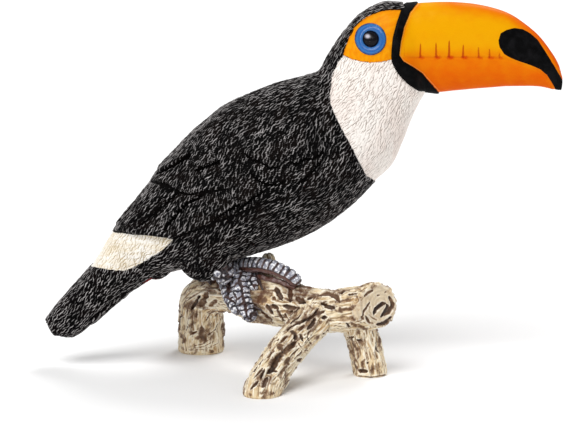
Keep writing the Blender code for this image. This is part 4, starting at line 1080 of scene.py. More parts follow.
# Carved marks of the bark on a drawing of the front: width, darkness, kind
# (g gouge, c crack, s stain), then the points of its line.
MARKS = [
    (0.64, 0.85, 'g', (-0.81, -9.82), (-0.37, -10.7), (0.07, -11.64)),
    (0.57, 0.85, 'g', (1.23, -9.93), (1.23, -11.86)), (0.46, 0.4, 'g', (-1.3, -11.2), (-0.86, -11.58)),
    (0.68, 0.8, 'g', (2.11, -11.14), (2.55, -11.64), (3.32, -12.08)),
    (0.4, 0.85, 'g', (3.6, -11.47), (4.26, -11.25)),
    (0.51, 0.75, 'g', (0.13, -12.41), (1.12, -12.68), (2.11, -12.68)),
    (0.46, 0.8, 'g', (-2.13, -12.35), (-1.19, -13.68)), (0.51, 0.75, 'g', (-1.36, -12.3), (-0.42, -12.96)),
    (0.37, 0.7, 'g', (-0.75, -12.9), (-0.15, -13.79), (0.35, -14.72)),
    (0.64, 0.62, 'g', (-2.85, -13.23), (-1.41, -14.5)), (0.29, 0.6, 'g', (1.23, -13.4), (1.61, -13.12)),
    (0.29, 0.5, 'g', (0.46, -13.45), (0.73, -14.12)), (0.48, 0.35, 'g', (1.89, -9.99), (3.1, -10.48)),
    (0.42, 0.85, 'g', (-4.17, -13.12), (-3.62, -14.01)), (0.2, 1.0, 'c', (0.84, -14.34), (2.44, -12.68)),
    (0.64, 0.68, 'g', (5.25, -10.87), (6.52, -10.59), (7.62, -11.03), (8.17, -11.91)),
    (0.53, 0.9, 'g', (5.58, -12.13), (7.4, -12.82)), (0.31, 0.8, 'g', (8.22, -10.76), (8.88, -10.39)),
    (0.4, 0.65, 'g', (4.75, -13.62), (5.3, -13.45), (6.08, -13.18)),
    (0.42, 0.95, 'g', (5.58, -14.12), (6.35, -14.01)), (0.37, 0.6, 'g', (5.63, -16.59), (6.57, -15.88)),
    (0.33, 0.6, 's', (5.19, -14.56), (5.8, -14.72)), (0.22, 0.6, 'g', (6.63, -16.54), (7.29, -16.23)),
    (0.33, 0.8, 'g', (1.12, -14.94), (2.77, -13.65)),
    (0.44, 0.85, 'g', (0.73, -15.77), (1.56, -15.22), (2.77, -14.61), (3.98, -14.12), (4.53, -13.73), (5.19, -12.74)),
    (0.77, 0.8, 's', (1.28, -15.99), (2.06, -16.43)), (0.46, 0.6, 'g', (2.33, -15.82), (3.21, -15.16)),
    (0.48, 0.85, 'g', (3.65, -15.77), (4.48, -14.78), (4.75, -14.12)),
    (0.46, 0.78, 'g', (2.77, -16.43), (3.08, -17.36)), (0.51, 0.8, 'g', (2.06, -16.43), (1.89, -17.2)),
    (0.42, 0.65, 'g', (-0.26, -17.58), (0.79, -16.59)), (0.33, 0.6, 'g', (-1.14, -17.58), (-0.37, -16.96)),
    (0.66, 0.72, 's', (-0.64, -18.19), (0.18, -18.52)),
    (0.66, 0.8, 'g', (0.35, -18.58), (1.23, -18.08), (2.06, -17.47)),
    (0.79, 0.85, 'g', (0.13, -18.85), (-0.48, -19.62), (-0.92, -20.61), (-1.19, -21.33)),
    (0.57, 0.85, 'g', (-2.07, -21.94), (-1.41, -21.44), (-0.53, -21.55)),
    (0.33, 0.5, 'g', (-2.02, -19.68), (-1.03, -18.74)),
    (0.26, 0.95, 'g', (-4.44, -22.32), (-3.62, -21.16), (-2.57, -19.84)),
    (0.33, 0.8, 'g', (-4.0, -22.65), (-2.57, -21.0)), (0.33, 0.85, 'g', (-2.9, -22.6), (-2.38, -21.22)),
    (0.37, 0.8, 'g', (-4.39, -24.08), (-3.29, -22.98)), (0.57, 0.82, 'g', (-2.57, -23.81), (-1.96, -22.43)),
    (0.66, 0.4, 's', (-3.18, -24.63), (-2.07, -24.8), (-0.97, -24.63)),
    (0.48, 0.65, 'g', (2.17, -20.12), (2.94, -19.9)), (0.48, 0.6, 'g', (0.73, -20.34), (1.28, -20.67)),
    (0.15, 0.85, 'c', (3.87, -15.99), (3.6, -16.87), (4.2, -17.97)),
    (0.13, 0.55, 'c', (2.44, -17.75), (3.1, -18.63), (3.71, -18.74)),
    (0.77, 0.5, 's', (4.53, -17.09), (5.3, -16.59)),
    (0.18, 0.55, 'c', (0.24, -23.75), (1.01, -22.93), (1.72, -21.99)),
    (0.15, 0.4, 'c', (-0.2, -23.7), (0.24, -22.6), (0.73, -21.33)),
    (0.26, 0.42, 'g', (1.23, -19.57), (2.33, -18.52)), (0.26, 0.5, 'g', (1.78, -20.01), (3.05, -18.74)),
    (0.99, 0.45, 's', (2.99, -15.55), (2.44, -16.43), (2.22, -17.31)),
    (0.15, 0.5, 'c', (-1.74, -16.21), (-3.07, -18.19), (-4.83, -20.94)),
    (0.66, 0.45, 's', (4.2, -15.11), (5.08, -15.55)),
    (0.47, 0.97, 'g', (-12.67, -12.97), (-12.1, -12.05), (-11.38, -10.96)),
    (0.88, 0.62, 'g', (-11.4, -12.62), (-10.96, -11.7), (-10.35, -10.52)),
    (0.58, 0.45, 'g', (-10.21, -12.58), (-9.07, -11.66)),
    (0.11, 0.7, 'c', (-13.59, -11.92), (-12.36, -11.09), (-11.22, -10.39), (-10.43, -9.82)),
    (0.21, 0.8, 'g', (-13.94, -13.59), (-14.38, -14.69), (-14.56, -16.09)),
    (0.21, 0.65, 'g', (-13.05, -14.16), (-13.35, -15.96)),
    (0.19, 0.5, 'g', (-10.57, -14.55), (-10.0, -13.63), (-9.47, -13.11)),
    (0.13, 0.65, 'c', (-9.16, -12.67), (-8.59, -13.63), (-8.49, -14.42)),
    (0.16, 0.75, 'c', (-8.87, -14.86), (-9.29, -15.83), (-10.17, -16.46)),
    (0.25, 0.6, 'g', (-11.44, -9.64), (-10.43, -9.18)), (0.19, 0.5, 'g', (-11.66, -9.03), (-10.48, -8.54)),
    (0.53, 0.65, 's', (-9.82, -9.25), (-9.25, -9.2)),
    (1.49, 0.62, 's', (-11.14, -15.3), (-11.05, -16.26), (-10.83, -17.58)),
    (1.05, 0.4, 's', (-12.1, -17.05), (-10.17, -16.97)),
    (0.97, 0.5, 's', (-14.29, -16.44), (-13.59, -16.7), (-13.86, -17.67)),
    (0.28, 0.6, 'g', (-12.8, -16.48), (-11.79, -16.04)),
    (0.11, 0.45, 'c', (-12.36, -18.41), (-10.87, -18.15), (-9.47, -17.4)),
    (0.1, 0.4, 'c', (-12.98, -18.63), (-10.7, -18.55), (-8.94, -17.71)),
    (0.1, 0.4, 'c', (-12.19, -18.02), (-11.05, -17.8), (-9.82, -16.97)),
    (0.12, 0.4, 'c', (-11.84, -13.28), (-11.88, -14.16)),
    (0.35, 0.3, 's', (-13.42, -12.05), (-12.89, -12.4), (-13.07, -13.28)),
    (0.53, 0.4, 's', (-14.03, -18.11), (-13.59, -18.55)),
    (0.53, 0.35, 's', (-9.47, -18.81), (-10.35, -18.9)), (0.26, 0.5, 'g', (-8.85, -10.04), (-8.59, -10.39)),
    (0.16, 0.45, 'c', (-13.81, -10.91), (-12.98, -9.77), (-12.54, -8.98)),
    (0.26, 0.85, 'g', (8.28, -10.73), (8.98, -10.27)), (0.32, 0.8, 'g', (9.36, -10.89), (10.62, -10.61)),
    (0.49, 0.9, 'g', (6.79, -12.55), (7.4, -12.79)), (0.56, 0.45, 's', (8.66, -12.83), (9.87, -12.97)),
    (0.21, 0.95, 'g', (9.01, -14.79), (9.64, -15.59)), (0.62, 0.5, 's', (9.59, -14.61), (10.48, -15.4)),
    (0.26, 0.65, 'g', (9.17, -16.87), (10.38, -16.83)), (0.22, 0.85, 'g', (10.24, -17.27), (11.16, -17.27)),
    (0.32, 0.5, 'g', (11.6, -11.11), (12.11, -10.59), (12.86, -10.27)),
    (0.52, 0.55, 's', (9.87, -17.64), (10.8, -18.71), (10.71, -19.93)),
    (0.21, 0.97, 'g', (13.21, -17.27), (13.28, -18.53), (13.68, -18.99)),
    (0.15, 0.7, 'c', (13.72, -15.91), (13.96, -16.57)), (0.17, 0.85, 'g', (14.05, -18.06), (14.21, -18.67)),
    (0.28, 0.9, 'g', (11.88, -20.44), (12.2, -20.44)), (0.47, 0.68, 'g', (10.71, -21.53), (12.06, -21.63)),
    (0.15, 0.65, 'c', (9.36, -17.45), (9.78, -18.81)),
    (0.28, 0.3, 's', (12.81, -18.06), (12.02, -18.34), (11.69, -19.18)),
    (0.17, 0.55, 'c', (10.52, -22.26), (12.58, -22.49), (14.82, -22.07)),
    (0.47, 0.97, 'g', (12.9, -13.67), (13.23, -12.83), (13.98, -12.23), (14.63, -12.09)),
    (0.37, 0.92, 'g', (14.63, -12.09), (14.89, -12.51), (14.44, -13.3), (13.88, -14.05)),
    (0.28, 0.7, 'g', (12.39, -11.9), (12.02, -12.55), (11.55, -13.21), (11.27, -14.14)),
    (0.5, 0.78, 'g', (15.0, -11.11), (15.42, -11.71), (15.56, -12.41), (15.0, -13.3), (14.44, -13.77)),
    (0.41, 0.95, 'g', (13.23, -15.05), (14.26, -14.89), (14.91, -14.42), (15.38, -13.91)),
    (0.37, 0.7, 'g', (11.78, -13.86), (12.02, -14.33), (12.39, -14.89)),
    (0.37, 0.6, 'g', (11.18, -13.86), (11.46, -14.33)), (0.47, 0.6, 's', (12.39, -14.79), (12.86, -14.98)),
    (0.24, 0.45, 'g', (13.32, -11.01), (13.79, -10.92)), (0.22, 0.5, 'g', (14.44, -10.59), (14.72, -10.45)),
    (0.17, 0.4, 'c', (12.3, -13.67), (12.76, -14.14), (13.32, -14.42)),
    (0.19, 0.35, 'c', (12.39, -12.55), (12.3, -13.21), (12.58, -13.67)),
    (0.15, 0.5, 'c', (15.75, -10.69), (16.12, -11.15)), (0.24, 0.4, 's', (12.02, -15.26), (12.76, -15.54)),
    (0.21, 0.35, 's', (10.62, -14.05), (10.71, -14.79), (11.08, -15.35)),
]
EYE_AT = np.array((0.0, -443.163, 99.242))         # where the drawing is seen from
LOOK = np.array((0.0, math.cos(math.radians(10)), -math.sin(math.radians(10))))
RISE = np.array((0.0, math.sin(math.radians(10)), math.cos(math.radians(10))))


def sweep(path, s, nv, radius, end_look=None):
    """Points round a bent limb: one ring per row number in s."""
    c = rows_at(path, s)
    t = unit(rows_at(path, np.minimum(s + 0.02, len(path) - 1)) - rows_at(path, np.maximum(s - 0.02, 0)))[:, :3]
    if end_look is not None:
        f = smooth(len(path) - 3.0, len(path) - 1.05, s)[:, None]
        t = unit(t * (1 - f) + end_look * f)
    ref = np.cross(t[0], (0.0, 1.0, 0.13))
    rings, frames = [], []
    q = TAU * np.arange(nv) / nv
    for p, d, r in zip(c, t, radius):
        ref = unit(ref - d * (ref @ d))
        bi = np.cross(d, ref)
        rings.append(p[:3] + r[..., None] * (np.cos(q)[:, None] * ref + np.sin(q)[:, None] * bi))
        frames.append((ref.copy(), bi))
    return np.array(rings), t, frames


def solid_faces(n, m, base=0):
    """Faces of a closed tube, with fans at both ends."""
    i, j = np.meshgrid(np.arange(n - 1), np.arange(m), indexing="ij")
    j1 = (j + 1) % m
    quads = np.stack([i * m + j, i * m + j1, (i + 1) * m + j1, (i + 1) * m + j], -1).reshape(-1, 4) + base
    j = np.arange(m)
    first, last = n * m, n * m + 1
    tris = np.concatenate([np.stack([np.full(m, first), (j + 1) % m, j], -1),
                           np.stack([np.full(m, last), (n - 1) * m + j, (n - 1) * m + (j + 1) % m], -1)]) + base
    return quads, tris


def bark_solid(voxel):
    """All limbs of the branch grown together, as points and faces in mm."""
    bm = bmesh.new()
    for path, look in ((BOUGH, CUT_FACE), (FRONT_LEG, None), (RIGHT_LEG, None), (STUB, None)):
        s = np.linspace(0, len(path) - 1, 90)
        r = rows_at(path, s)[:, 3][:, None] * np.ones((1, 64))
        rings, t, _ = sweep(path, s, 64, r, look)
        if path is STUB:
            tip = rings[-1].mean(0)
            caps = [tip + (rings[-1] - tip) * math.cos(a) + t[-1] * 0.75 * math.sin(a) for a in (0.4, 0.8, 1.15, 1.4)]
            rings = np.concatenate([rings, np.array(caps)])
        pts = np.vstack([rings.reshape(-1, 3), rings[0].mean(0), rings[-1].mean(0)])
        q, f = solid_faces(len(rings), 64)
        part = bmesh.new()
        vs = [part.verts.new(p) for p in pts]
        for face in list(q) + list(f):
            part.faces.new([vs[k] for k in face])
        bmesh.ops.bisect_plane(part, geom=part.verts[:] + part.edges[:] + part.faces[:],
                               plane_co=(0, 0, 0), plane_no=(0, 0, -1), clear_outer=True)
        bmesh.ops.holes_fill(part, edges=[e for e in part.edges if e.is_boundary])
        bmesh.ops.recalc_face_normals(part, faces=part.faces[:])
        tmp = bpy.data.meshes.new("limb")
        part.to_mesh(tmp)
        part.free()
        bm.from_mesh(tmp)
        bpy.data.meshes.remove(tmp)
    me = bpy.data.meshes.new("limbs")
    bm.to_mesh(me)
    bm.free()
    ob = bpy.data.objects.new("limbs", me)
    bpy.context.scene.collection.objects.link(ob)
    mod = ob.modifiers.new("fuse", 'REMESH')
    mod.mode = 'VOXEL'
    mod.voxel_size = voxel
    mod.use_smooth_shade = True
    dg = bpy.context.evaluated_depsgraph_get()
    out = bpy.data.meshes.new_from_object(ob.evaluated_get(dg))
    V = np.empty(len(out.vertices) * 3)
    out.vertices.foreach_get("co", V)
    F = np.empty(len(out.loops), np.int32)
    out.loops.foreach_get("vertex_index", F)
    F = F.reshape(-1, 4)
    E = np.empty(len(out.edges) * 2, np.int32)
    out.edges.foreach_get("vertices", E)
    bpy.data.objects.remove(ob, do_unlink=True)
    bpy.data.meshes.remove(me)
    bpy.data.meshes.remove(out)
    return V.reshape(-1, 3), F, E.reshape(-1, 2)


def even_out(V, E, rounds, amount=0.5):
    """Relax points toward the mean of their neighbours."""
    deg = np.bincount(E.reshape(-1), minlength=len(V)).astype(float)
    V = V.copy()
    for _ in range(rounds):
        acc = np.stack([np.bincount(E[:, 0], V[E[:, 1], k], len(V)) + np.bincount(E[:, 1], V[E[:, 0], k], len(V))
                        for k in range(V.shape[1])], -1)
        V += amount * (acc / deg[:, None] - V)
    return V


def face_normals_to_points(V, F):
    d1, d2 = V[F[:, 2]] - V[F[:, 0]], V[F[:, 3]] - V[F[:, 1]]
    fn = np.cross(d1, d2)
    N = np.stack([np.bincount(F.reshape(-1), np.repeat(fn[:, k], 4), len(V)) for k in range(3)], -1)
    return unit(N)


def near_line(V, pts):
    """Distance of points to a polyline in space, and how far along it."""
    best, along = np.full(len(V), 1e9), np.zeros(len(V))
    seg = np.linalg.norm(np.diff(pts, axis=0), axis=1)
    total, run = seg.sum(), 0.0
    for p, q, L in zip(pts[:-1], pts[1:], seg):
        d = (q - p) / max(L, 1e-9)
        rel = V - p
        t = np.clip(rel @ d, 0, L)
        dist = np.linalg.norm(rel - t[:, None] * d, axis=1)
        near = dist < best
        best = np.where(near, dist, best)
        along = np.where(near, (run + t) / total, along)
        run += L
    return best, along


def build_branch():
    rng = np.random.default_rng(77)
    V, F, E = bark_solid(0.118)
    V = even_out(V, E, 18)
    low = V[:, 2] < 0.05
    N = face_normals_to_points(V, F)
    if np.mean(np.sum(N * (V - V.mean(0)), -1)) < 0:
        F = F[:, ::-1]
        N = -N
    # limb, place along it and angle round it for every point
    best = np.full(len(V), 1e9)
    limb, along, angle = np.zeros(len(V), int), np.zeros(len(V)), np.zeros(len(V))
    T = np.zeros_like(V)
    for k, path in enumerate((BOUGH, FRONT_LEG, RIGHT_LEG, STUB)):
        s = np.linspace(0, len(path) - 1, 160)
        c = rows_at(path, s)
        _, t, frames = sweep(path, s, 4, np.ones((len(s), 4)))
        run = np.concatenate([[0], np.cumsum(np.linalg.norm(np.diff(c[:, :3], axis=0), axis=1))])
        for b in range(0, len(V), 20000):
            sub = slice(b, b + 20000)
            d = np.linalg.norm(V[sub, None] - c[None, :, :3], axis=-1)
            j = np.argmin(d, 1)
            rel = V[sub] - c[j, :3]
            dn = d[np.arange(len(j)), j] / c[j, 3] * (0.75 if k == 3 else 1.0)
            ref, bi = np.array([f[0] for f in frames])[j], np.array([f[1] for f in frames])[j]
            ang = np.arctan2(np.sum(rel * bi, -1), np.sum(rel * ref, -1))
            better = dn < best[sub]
            best[sub] = np.where(better, dn, best[sub])
            limb[sub] = np.where(better, k, limb[sub])
            along[sub] = np.where(better, run[j] + np.sum(rel * t[j], -1), along[sub])
            angle[sub] = np.where(better, ang, angle[sub])
            T[sub] = np.where(better[:, None], t[j], T[sub])
    T = unit(T - np.sum(T * N, -1, keepdims=True) * N)
    ax_end = BOUGH[-1, :3]
    sawn = smooth(0.70, 0.86, N @ CUT_FACE) * (np.linalg.norm(V - ax_end, axis=1) < 3.9)
    grainy = np.stack([np.cos(angle) * 2.6, np.sin(angle) * 2.6, along * 0.20], -1)
    loose = np.stack([np.cos(angle) * 2.6, np.sin(angle) * 2.6, along * 0.45], -1)
    free = (1 - sawn) * smooth(0.0, 0.9, V[:, 2])
    furrow = 0.5 - 1.7 * np.abs(waves(grainy, 0.95, 47, 2))
    H = (0.12 * waves(grainy, 1.15, 41, 3) + 0.16 * waves(loose, 2.6, 43, 2) + 0.15 * furrow) * free
    H = H + 0.07 * waves(V, 5.0, 44, 2) * (V[:, 2] > 0.1)
    Vb = V + H[:, None] * N
    tree = BVHTree.FromPolygons([tuple(p) for p in Vb], [tuple(f) for f in F.tolist()])

    def drop(u, v):
        d = 450.0 * LOOK + np.array((u, 0, 0)) + RISE * v
        hit = tree.ray_cast(Vector(EYE_AT), Vector(d))[0]
        return None if hit is None else np.array(hit)
    lines = []
    for width, tone, kind, *pts in MARKS:
        width = width * (1.24 if kind == 'g' else 1.10)
        fine = []
        for (u0, v0), (u1, v1) in zip(pts[:-1], pts[1:]):
            k = max(2, int(math.hypot(u1 - u0, v1 - v0) / 0.25))
            fine += [(u0 + (u1 - u0) * i / k, v0 + (v1 - v0) * i / k) for i in range(k)]
        fine.append(pts[-1])
        got = [p for p in (drop(u, v) for u, v in fine) if p is not None]
        if len(got) >= 2:
            lines.append((np.array(got), width, tone, kind))
    # gouges on the sides the drawing leaves out
    facing = N @ -LOOK
    taken = [p for g, _, _, _ in lines for p in g]
    order = rng.permutation(len(V))[:14000]
    spots = []
    for i in order:
        if facing[i] > 0.10 or V[i, 2] < 0.7 or sawn[i] > 0.1 or limb[i] == 3:
            continue
        p = V[i]
        if spots:
            rel = np.array([q[0] for q in spots[-900:]]) - p
            if np.min(np.sum(rel * rel, -1) + 2.0 * np.abs(np.sum(rel * N[i], -1))) < 0.80 ** 2:
                continue
        spots.append((p, i))
    flip = rng.random(len(spots))
    for (p, i), r in zip(spots, flip):
        side = np.cross(N[i], T[i])
        lean = rng.normal() * 0.30
        d = T[i] * math.cos(lean) + side * math.sin(lean)
        half = 0.35 + 0.85 * rng.random() ** 1.6
        bend = rng.normal() * 0.10
        wide = 0.26 + 0.26 * rng.random()
        if r < 0.10:
            d, half = side, 0.45
        pts = np.array([p + d * half * t + side * bend * t * t for t in (-1, -0.5, 0, 0.5, 1)])
        lines.append((pts, wide, 0.45 + 0.45 * rng.random(), 'c' if r > 0.86 else 'g'))
    # fine cracks and soft stains run along every limb
    placed = []
    for i in rng.permutation(len(V))[:9000]:
        if V[i, 2] < 0.5 or sawn[i] > 0.1 or limb[i] == 3:
            continue
        p = V[i]
        if placed and np.min(np.sum((np.array(placed) - p) ** 2, -1)) < 1.12 ** 2:
            continue
        placed.append(p)
        r = rng.random()
        half = (0.70 + 1.4 * rng.random()) * (1.0 if r < 0.60 else 1.25)
        side = np.cross(N[i], T[i])
        lean = rng.normal() * 0.18
        d = T[i] * math.cos(lean) + side * math.sin(lean)
        bend = rng.normal() * 0.16
        pts = np.array([p + d * half * t + side * bend * t * t for t in (-1, -0.5, 0, 0.5, 1)])
        if r < 0.60:
            lines.append((pts, 0.12 + 0.12 * rng.random(), 0.20 + 0.34 * rng.random(), 'c'))
        else:
            lines.append((pts, 0.6 + 0.9 * rng.random(), 0.26 + 0.30 * rng.random(), 's'))
    dark, lip, cut = np.zeros(len(V)), np.zeros(len(V)), np.zeros(len(V))
    wob = 1 + 0.16 * waves(V, 0.9, 51, 2)
    for pts, width, tone, kind in lines:
        c, reach = pts.mean(0), np.max(np.linalg.norm(pts - pts.mean(0), axis=1)) + width * 1.8
        near = np.where(np.max(np.abs(V - c), axis=1) < reach)[0]
        if not len(near):
            continue
        d, t = near_line(Vb[near], pts)
        half = 0.5 * width * np.clip(1 - np.abs(2 * t - 1) ** 3.0, 0.06, 1) ** 0.5
        e = d / half * wob[near]
        if kind == 's':
            dark[near] = np.maximum(dark[near], tone * smooth(1.7, 0.1, e))
            continue
        if kind == 'c':
            half = 0.5 * max(width, 0.12)
            e = d / half
            dark[near] = np.maximum(dark[near], tone * smooth(1.6, 0.5, e))
            cut[near] = np.maximum(cut[near], 0.13 * smooth(1.8, 0.2, e))
            lip[near] = np.maximum(lip[near], 0.5 * np.exp(-((e - 2.4) / 0.8) ** 2))
            continue
        deep = min(0.34, 0.20 + 0.25 * width) * (0.6 + 0.5 * tone)
        dark[near] = np.maximum(dark[near], tone * smooth(1.16, 0.74, e))
        cut[near] = np.maximum(cut[near], deep * smooth(1.22, 0.45, e))
        lip[near] = np.maximum(lip[near], np.exp(-((e - 1.42) / 0.24) ** 2))
    rings = np.linalg.norm(np.cross(V - (ax_end + np.array((0.35, 0, 0.25))), CUT_FACE), axis=1)
    rings = rings + 0.18 * waves(V, 3.0, 61, 2)
    turn = 0.5 + 0.5 * np.cos(rings * TAU / 0.62)
    rim = smooth(2.35, 2.75, np.linalg.norm(np.cross(V - ax_end, CUT_FACE), axis=1))
    face_h = sawn * (0.07 * (turn - 0.5) + 0.10 * rim)
    H = H - cut * (1 - 0.3 * sawn) + 0.075 * lip * (1 - smooth(0.0, 0.1, cut)) + face_h
    H = H * (~low)
    V2 = V + H[:, None] * N
    V2 = even_out(V2, E, 1, 0.25)
    V2[low, 2] = 0.0
    V2[:, 2] = np.maximum(V2[:, 2], 0.0)
    # paint gathers in the hollows
    sm = even_out(H[:, None], E, 10)[:, 0]
    hollow = sm - H
    # painted shade: the bark is darkened to brown close to the toes, where they shade it
    toes = np.array([p[:3] for steps in TOES_RIGHT + TOES_LEFT for p in toe_path(steps, 1.25, 0.7)])
    near_toe = np.min(np.linalg.norm(V[:, None] - toes[None], axis=-1), 1)
    shade = smooth(2.7, 1.45, near_toe)
    attrs = {"dark": dark, "lip": lip, "hollow": hollow, "sawn": sawn, "rings": turn, "shade": shade,
             "grain": np.stack([np.cos(angle) * 2.6, np.sin(angle) * 2.6, along * 0.25], -1)}
    # unwrap: one strip per limb, flat islands for the sawn face and the feet
    fc = V[F].mean(1)
    fnrm = unit(N[F].mean(1))
    fl = limb[F[:, 0]]
    uv = np.zeros((len(F), 4, 2))
    a0 = angle[F[:, :1]]
    da = (angle[F] - a0 + math.pi) % TAU - math.pi
    span = [(0.00, 0.46), (0.47, 0.70), (0.71, 0.88), (0.89, 0.99)]
    tall = [42.0, 22.0, 14.0, 8.0]
    for k, ((u0, u1), L) in enumerate(zip(span, tall)):
        m_ = fl == k
        ang = (np.clip(a0 + da, -math.pi - 0.15, math.pi + 0.15) + math.pi + 0.15) / (TAU + 0.30)
        uv[m_, :, 0] = (u0 + (u1 - u0) * ang)[m_]
        uv[m_, :, 1] = (0.02 + 0.74 * np.clip((along[F] + 3.0) / L, 0, 1))[m_]
    s1 = unit(np.cross(CUT_FACE, (0, 0, 1.0)))
    s2 = np.cross(CUT_FACE, s1)
    on = (fnrm @ CUT_FACE > 0.72) & (np.linalg.norm(fc - ax_end, axis=1) < 3.9)
    rel = V[F] - ax_end
    uv[on, :, 0] = (0.12 + rel @ s1 / 36.0)[on]
    uv[on, :, 1] = (0.89 + rel @ s2 / 36.0)[on]
    on = (fnrm[:, 2] < -0.8) & (fc[:, 2] < 0.3)
    uv[on, :, 0] = (0.45 + (V[F][..., 0] + 14) / 70.0)[on]
    uv[on, :, 1] = (0.79 + (V[F][..., 1] + 22) / 190.0)[on]
    N2 = face_normals_to_points(V2, F)
    ob = make_piece("bark", V2, F, attrs, N2, uv)
    ob.data.materials.append(bark_material())
    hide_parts("branch_perch", "branch_leg_rear", "branch_leg_front", "branch_leg_right", "branch_stub")
    return ob


def bark_material():
    n = Net("painted_bark")
    pos = n.place()
    grain_v = n.attr("grain", True)
    fibre = n.noise(grain_v, 3.2, 4.0, 0.62, 0.5)
    cloud = n.noise(pos, 0.42, 3.0, 0.55, 0.3)
    blot = n.noise(pos, 1.25, 4.0, 0.62, 0.4)
    speck = n.noise(pos, 6.0, 2.0, 0.6)
    base = n.ramp(n.add(n.mul(cloud, 0.42), n.mul(fibre, 0.58)),
                  [(0.33, (0.330, 0.185, 0.080)), (0.42, (0.600, 0.415, 0.215)),
                   (0.51, (0.765, 0.620, 0.395)), (0.65, (0.830, 0.735, 0.545))])
    col = n.mix(n.step(blot, 0.53, 0.72, 0.0, 0.60), base, (0.380, 0.225, 0.105))
    col = n.mix(n.step(n.add(n.attr("hollow"), n.mul(n.add(fibre, -0.5), 0.07)), 0.008, 0.075, 0.0, 0.82),
                col, (0.205, 0.108, 0.048))
    col = n.mix(n.step(n.add(n.attr("hollow"), n.mul(n.add(fibre, -0.5), 0.06)), -0.008, -0.060, 0.0, 0.80),
                col, (0.930, 0.880, 0.740))
    col = n.mix(n.mul(n.attr("lip"), n.step(speck, 0.30, 0.60, 0.35, 0.9)), col, (0.930, 0.870, 0.740))
    ring = n.mul(n.attr("sawn"), n.attr("rings"))
    col = n.mix(n.mul(n.attr("sawn"), 0.30), col, (0.700, 0.620, 0.520))
    col = n.mix(n.mul(ring, 0.38), col, (0.250, 0.155, 0.085))
    d = n.add(n.attr("dark"), n.mul(n.mul(n.add(blot, -0.5), 1.5), n.step(n.attr("dark"), 0.02, 0.2)))
    stain = n.ramp(d, [(0.0, (0.380, 0.215, 0.098)), (0.42, (0.165, 0.080, 0.038)), (1.0, (0.022, 0.009, 0.006))])
    col = n.mix(n.step(d, 0.08, 0.55, 0.0, 0.96), col, stain)
    # painted shade: dark brown on the bark next to the toes
    col = n.mix(n.mul(n.attr("shade"), n.step(blot, 0.30, 0.60, 0.35, 0.88)), col, (0.105, 0.042, 0.020))
    rough = n.add(0.50, n.mul(n.add(speck, -0.5), 0.22))
    n.bump(n.add(fibre, n.mul(speck, 0.3)), 0.06, 0.7)
    return n.done(col, rough, 0.30)


# ------------------------------------------------------------------ feet
def perch_frame(x):
    """Centre, radius and cross axes of the perch slice at a given x."""
    lo, hi = 3.5, len(GRIP) - 1.0
    for _ in range(40):
        mid = 0.5 * (lo + hi)
        if rows_at(GRIP, mid)[0] < x:
            lo = mid
        else:
            hi = mid
    t = unit((rows_at(GRIP, lo + 0.02) - rows_at(GRIP, lo - 0.02))[:3])
    up = unit(np.array((0, 0, 1.0)) - t * t[2])
    near = np.cross(up, t)
    if near[1] > 0:
        near = -near
    row = rows_at(GRIP, lo)
    return row[:3], row[3], up, near


def toe_path(steps, r0, r1, extra=0.0):
    path = []
    n = len(steps) - 1
    for i, (x, ang, lift) in enumerate(steps):
        c, rad, up, near = perch_frame(x)
        r = r0 + (r1 - r0) * i / n
        q = math.radians(ang)
        reach = rad + r + lift + extra
        path.append((*(c + reach * (math.cos(q) * up + math.sin(q) * near)), r))
    return np.array(path)


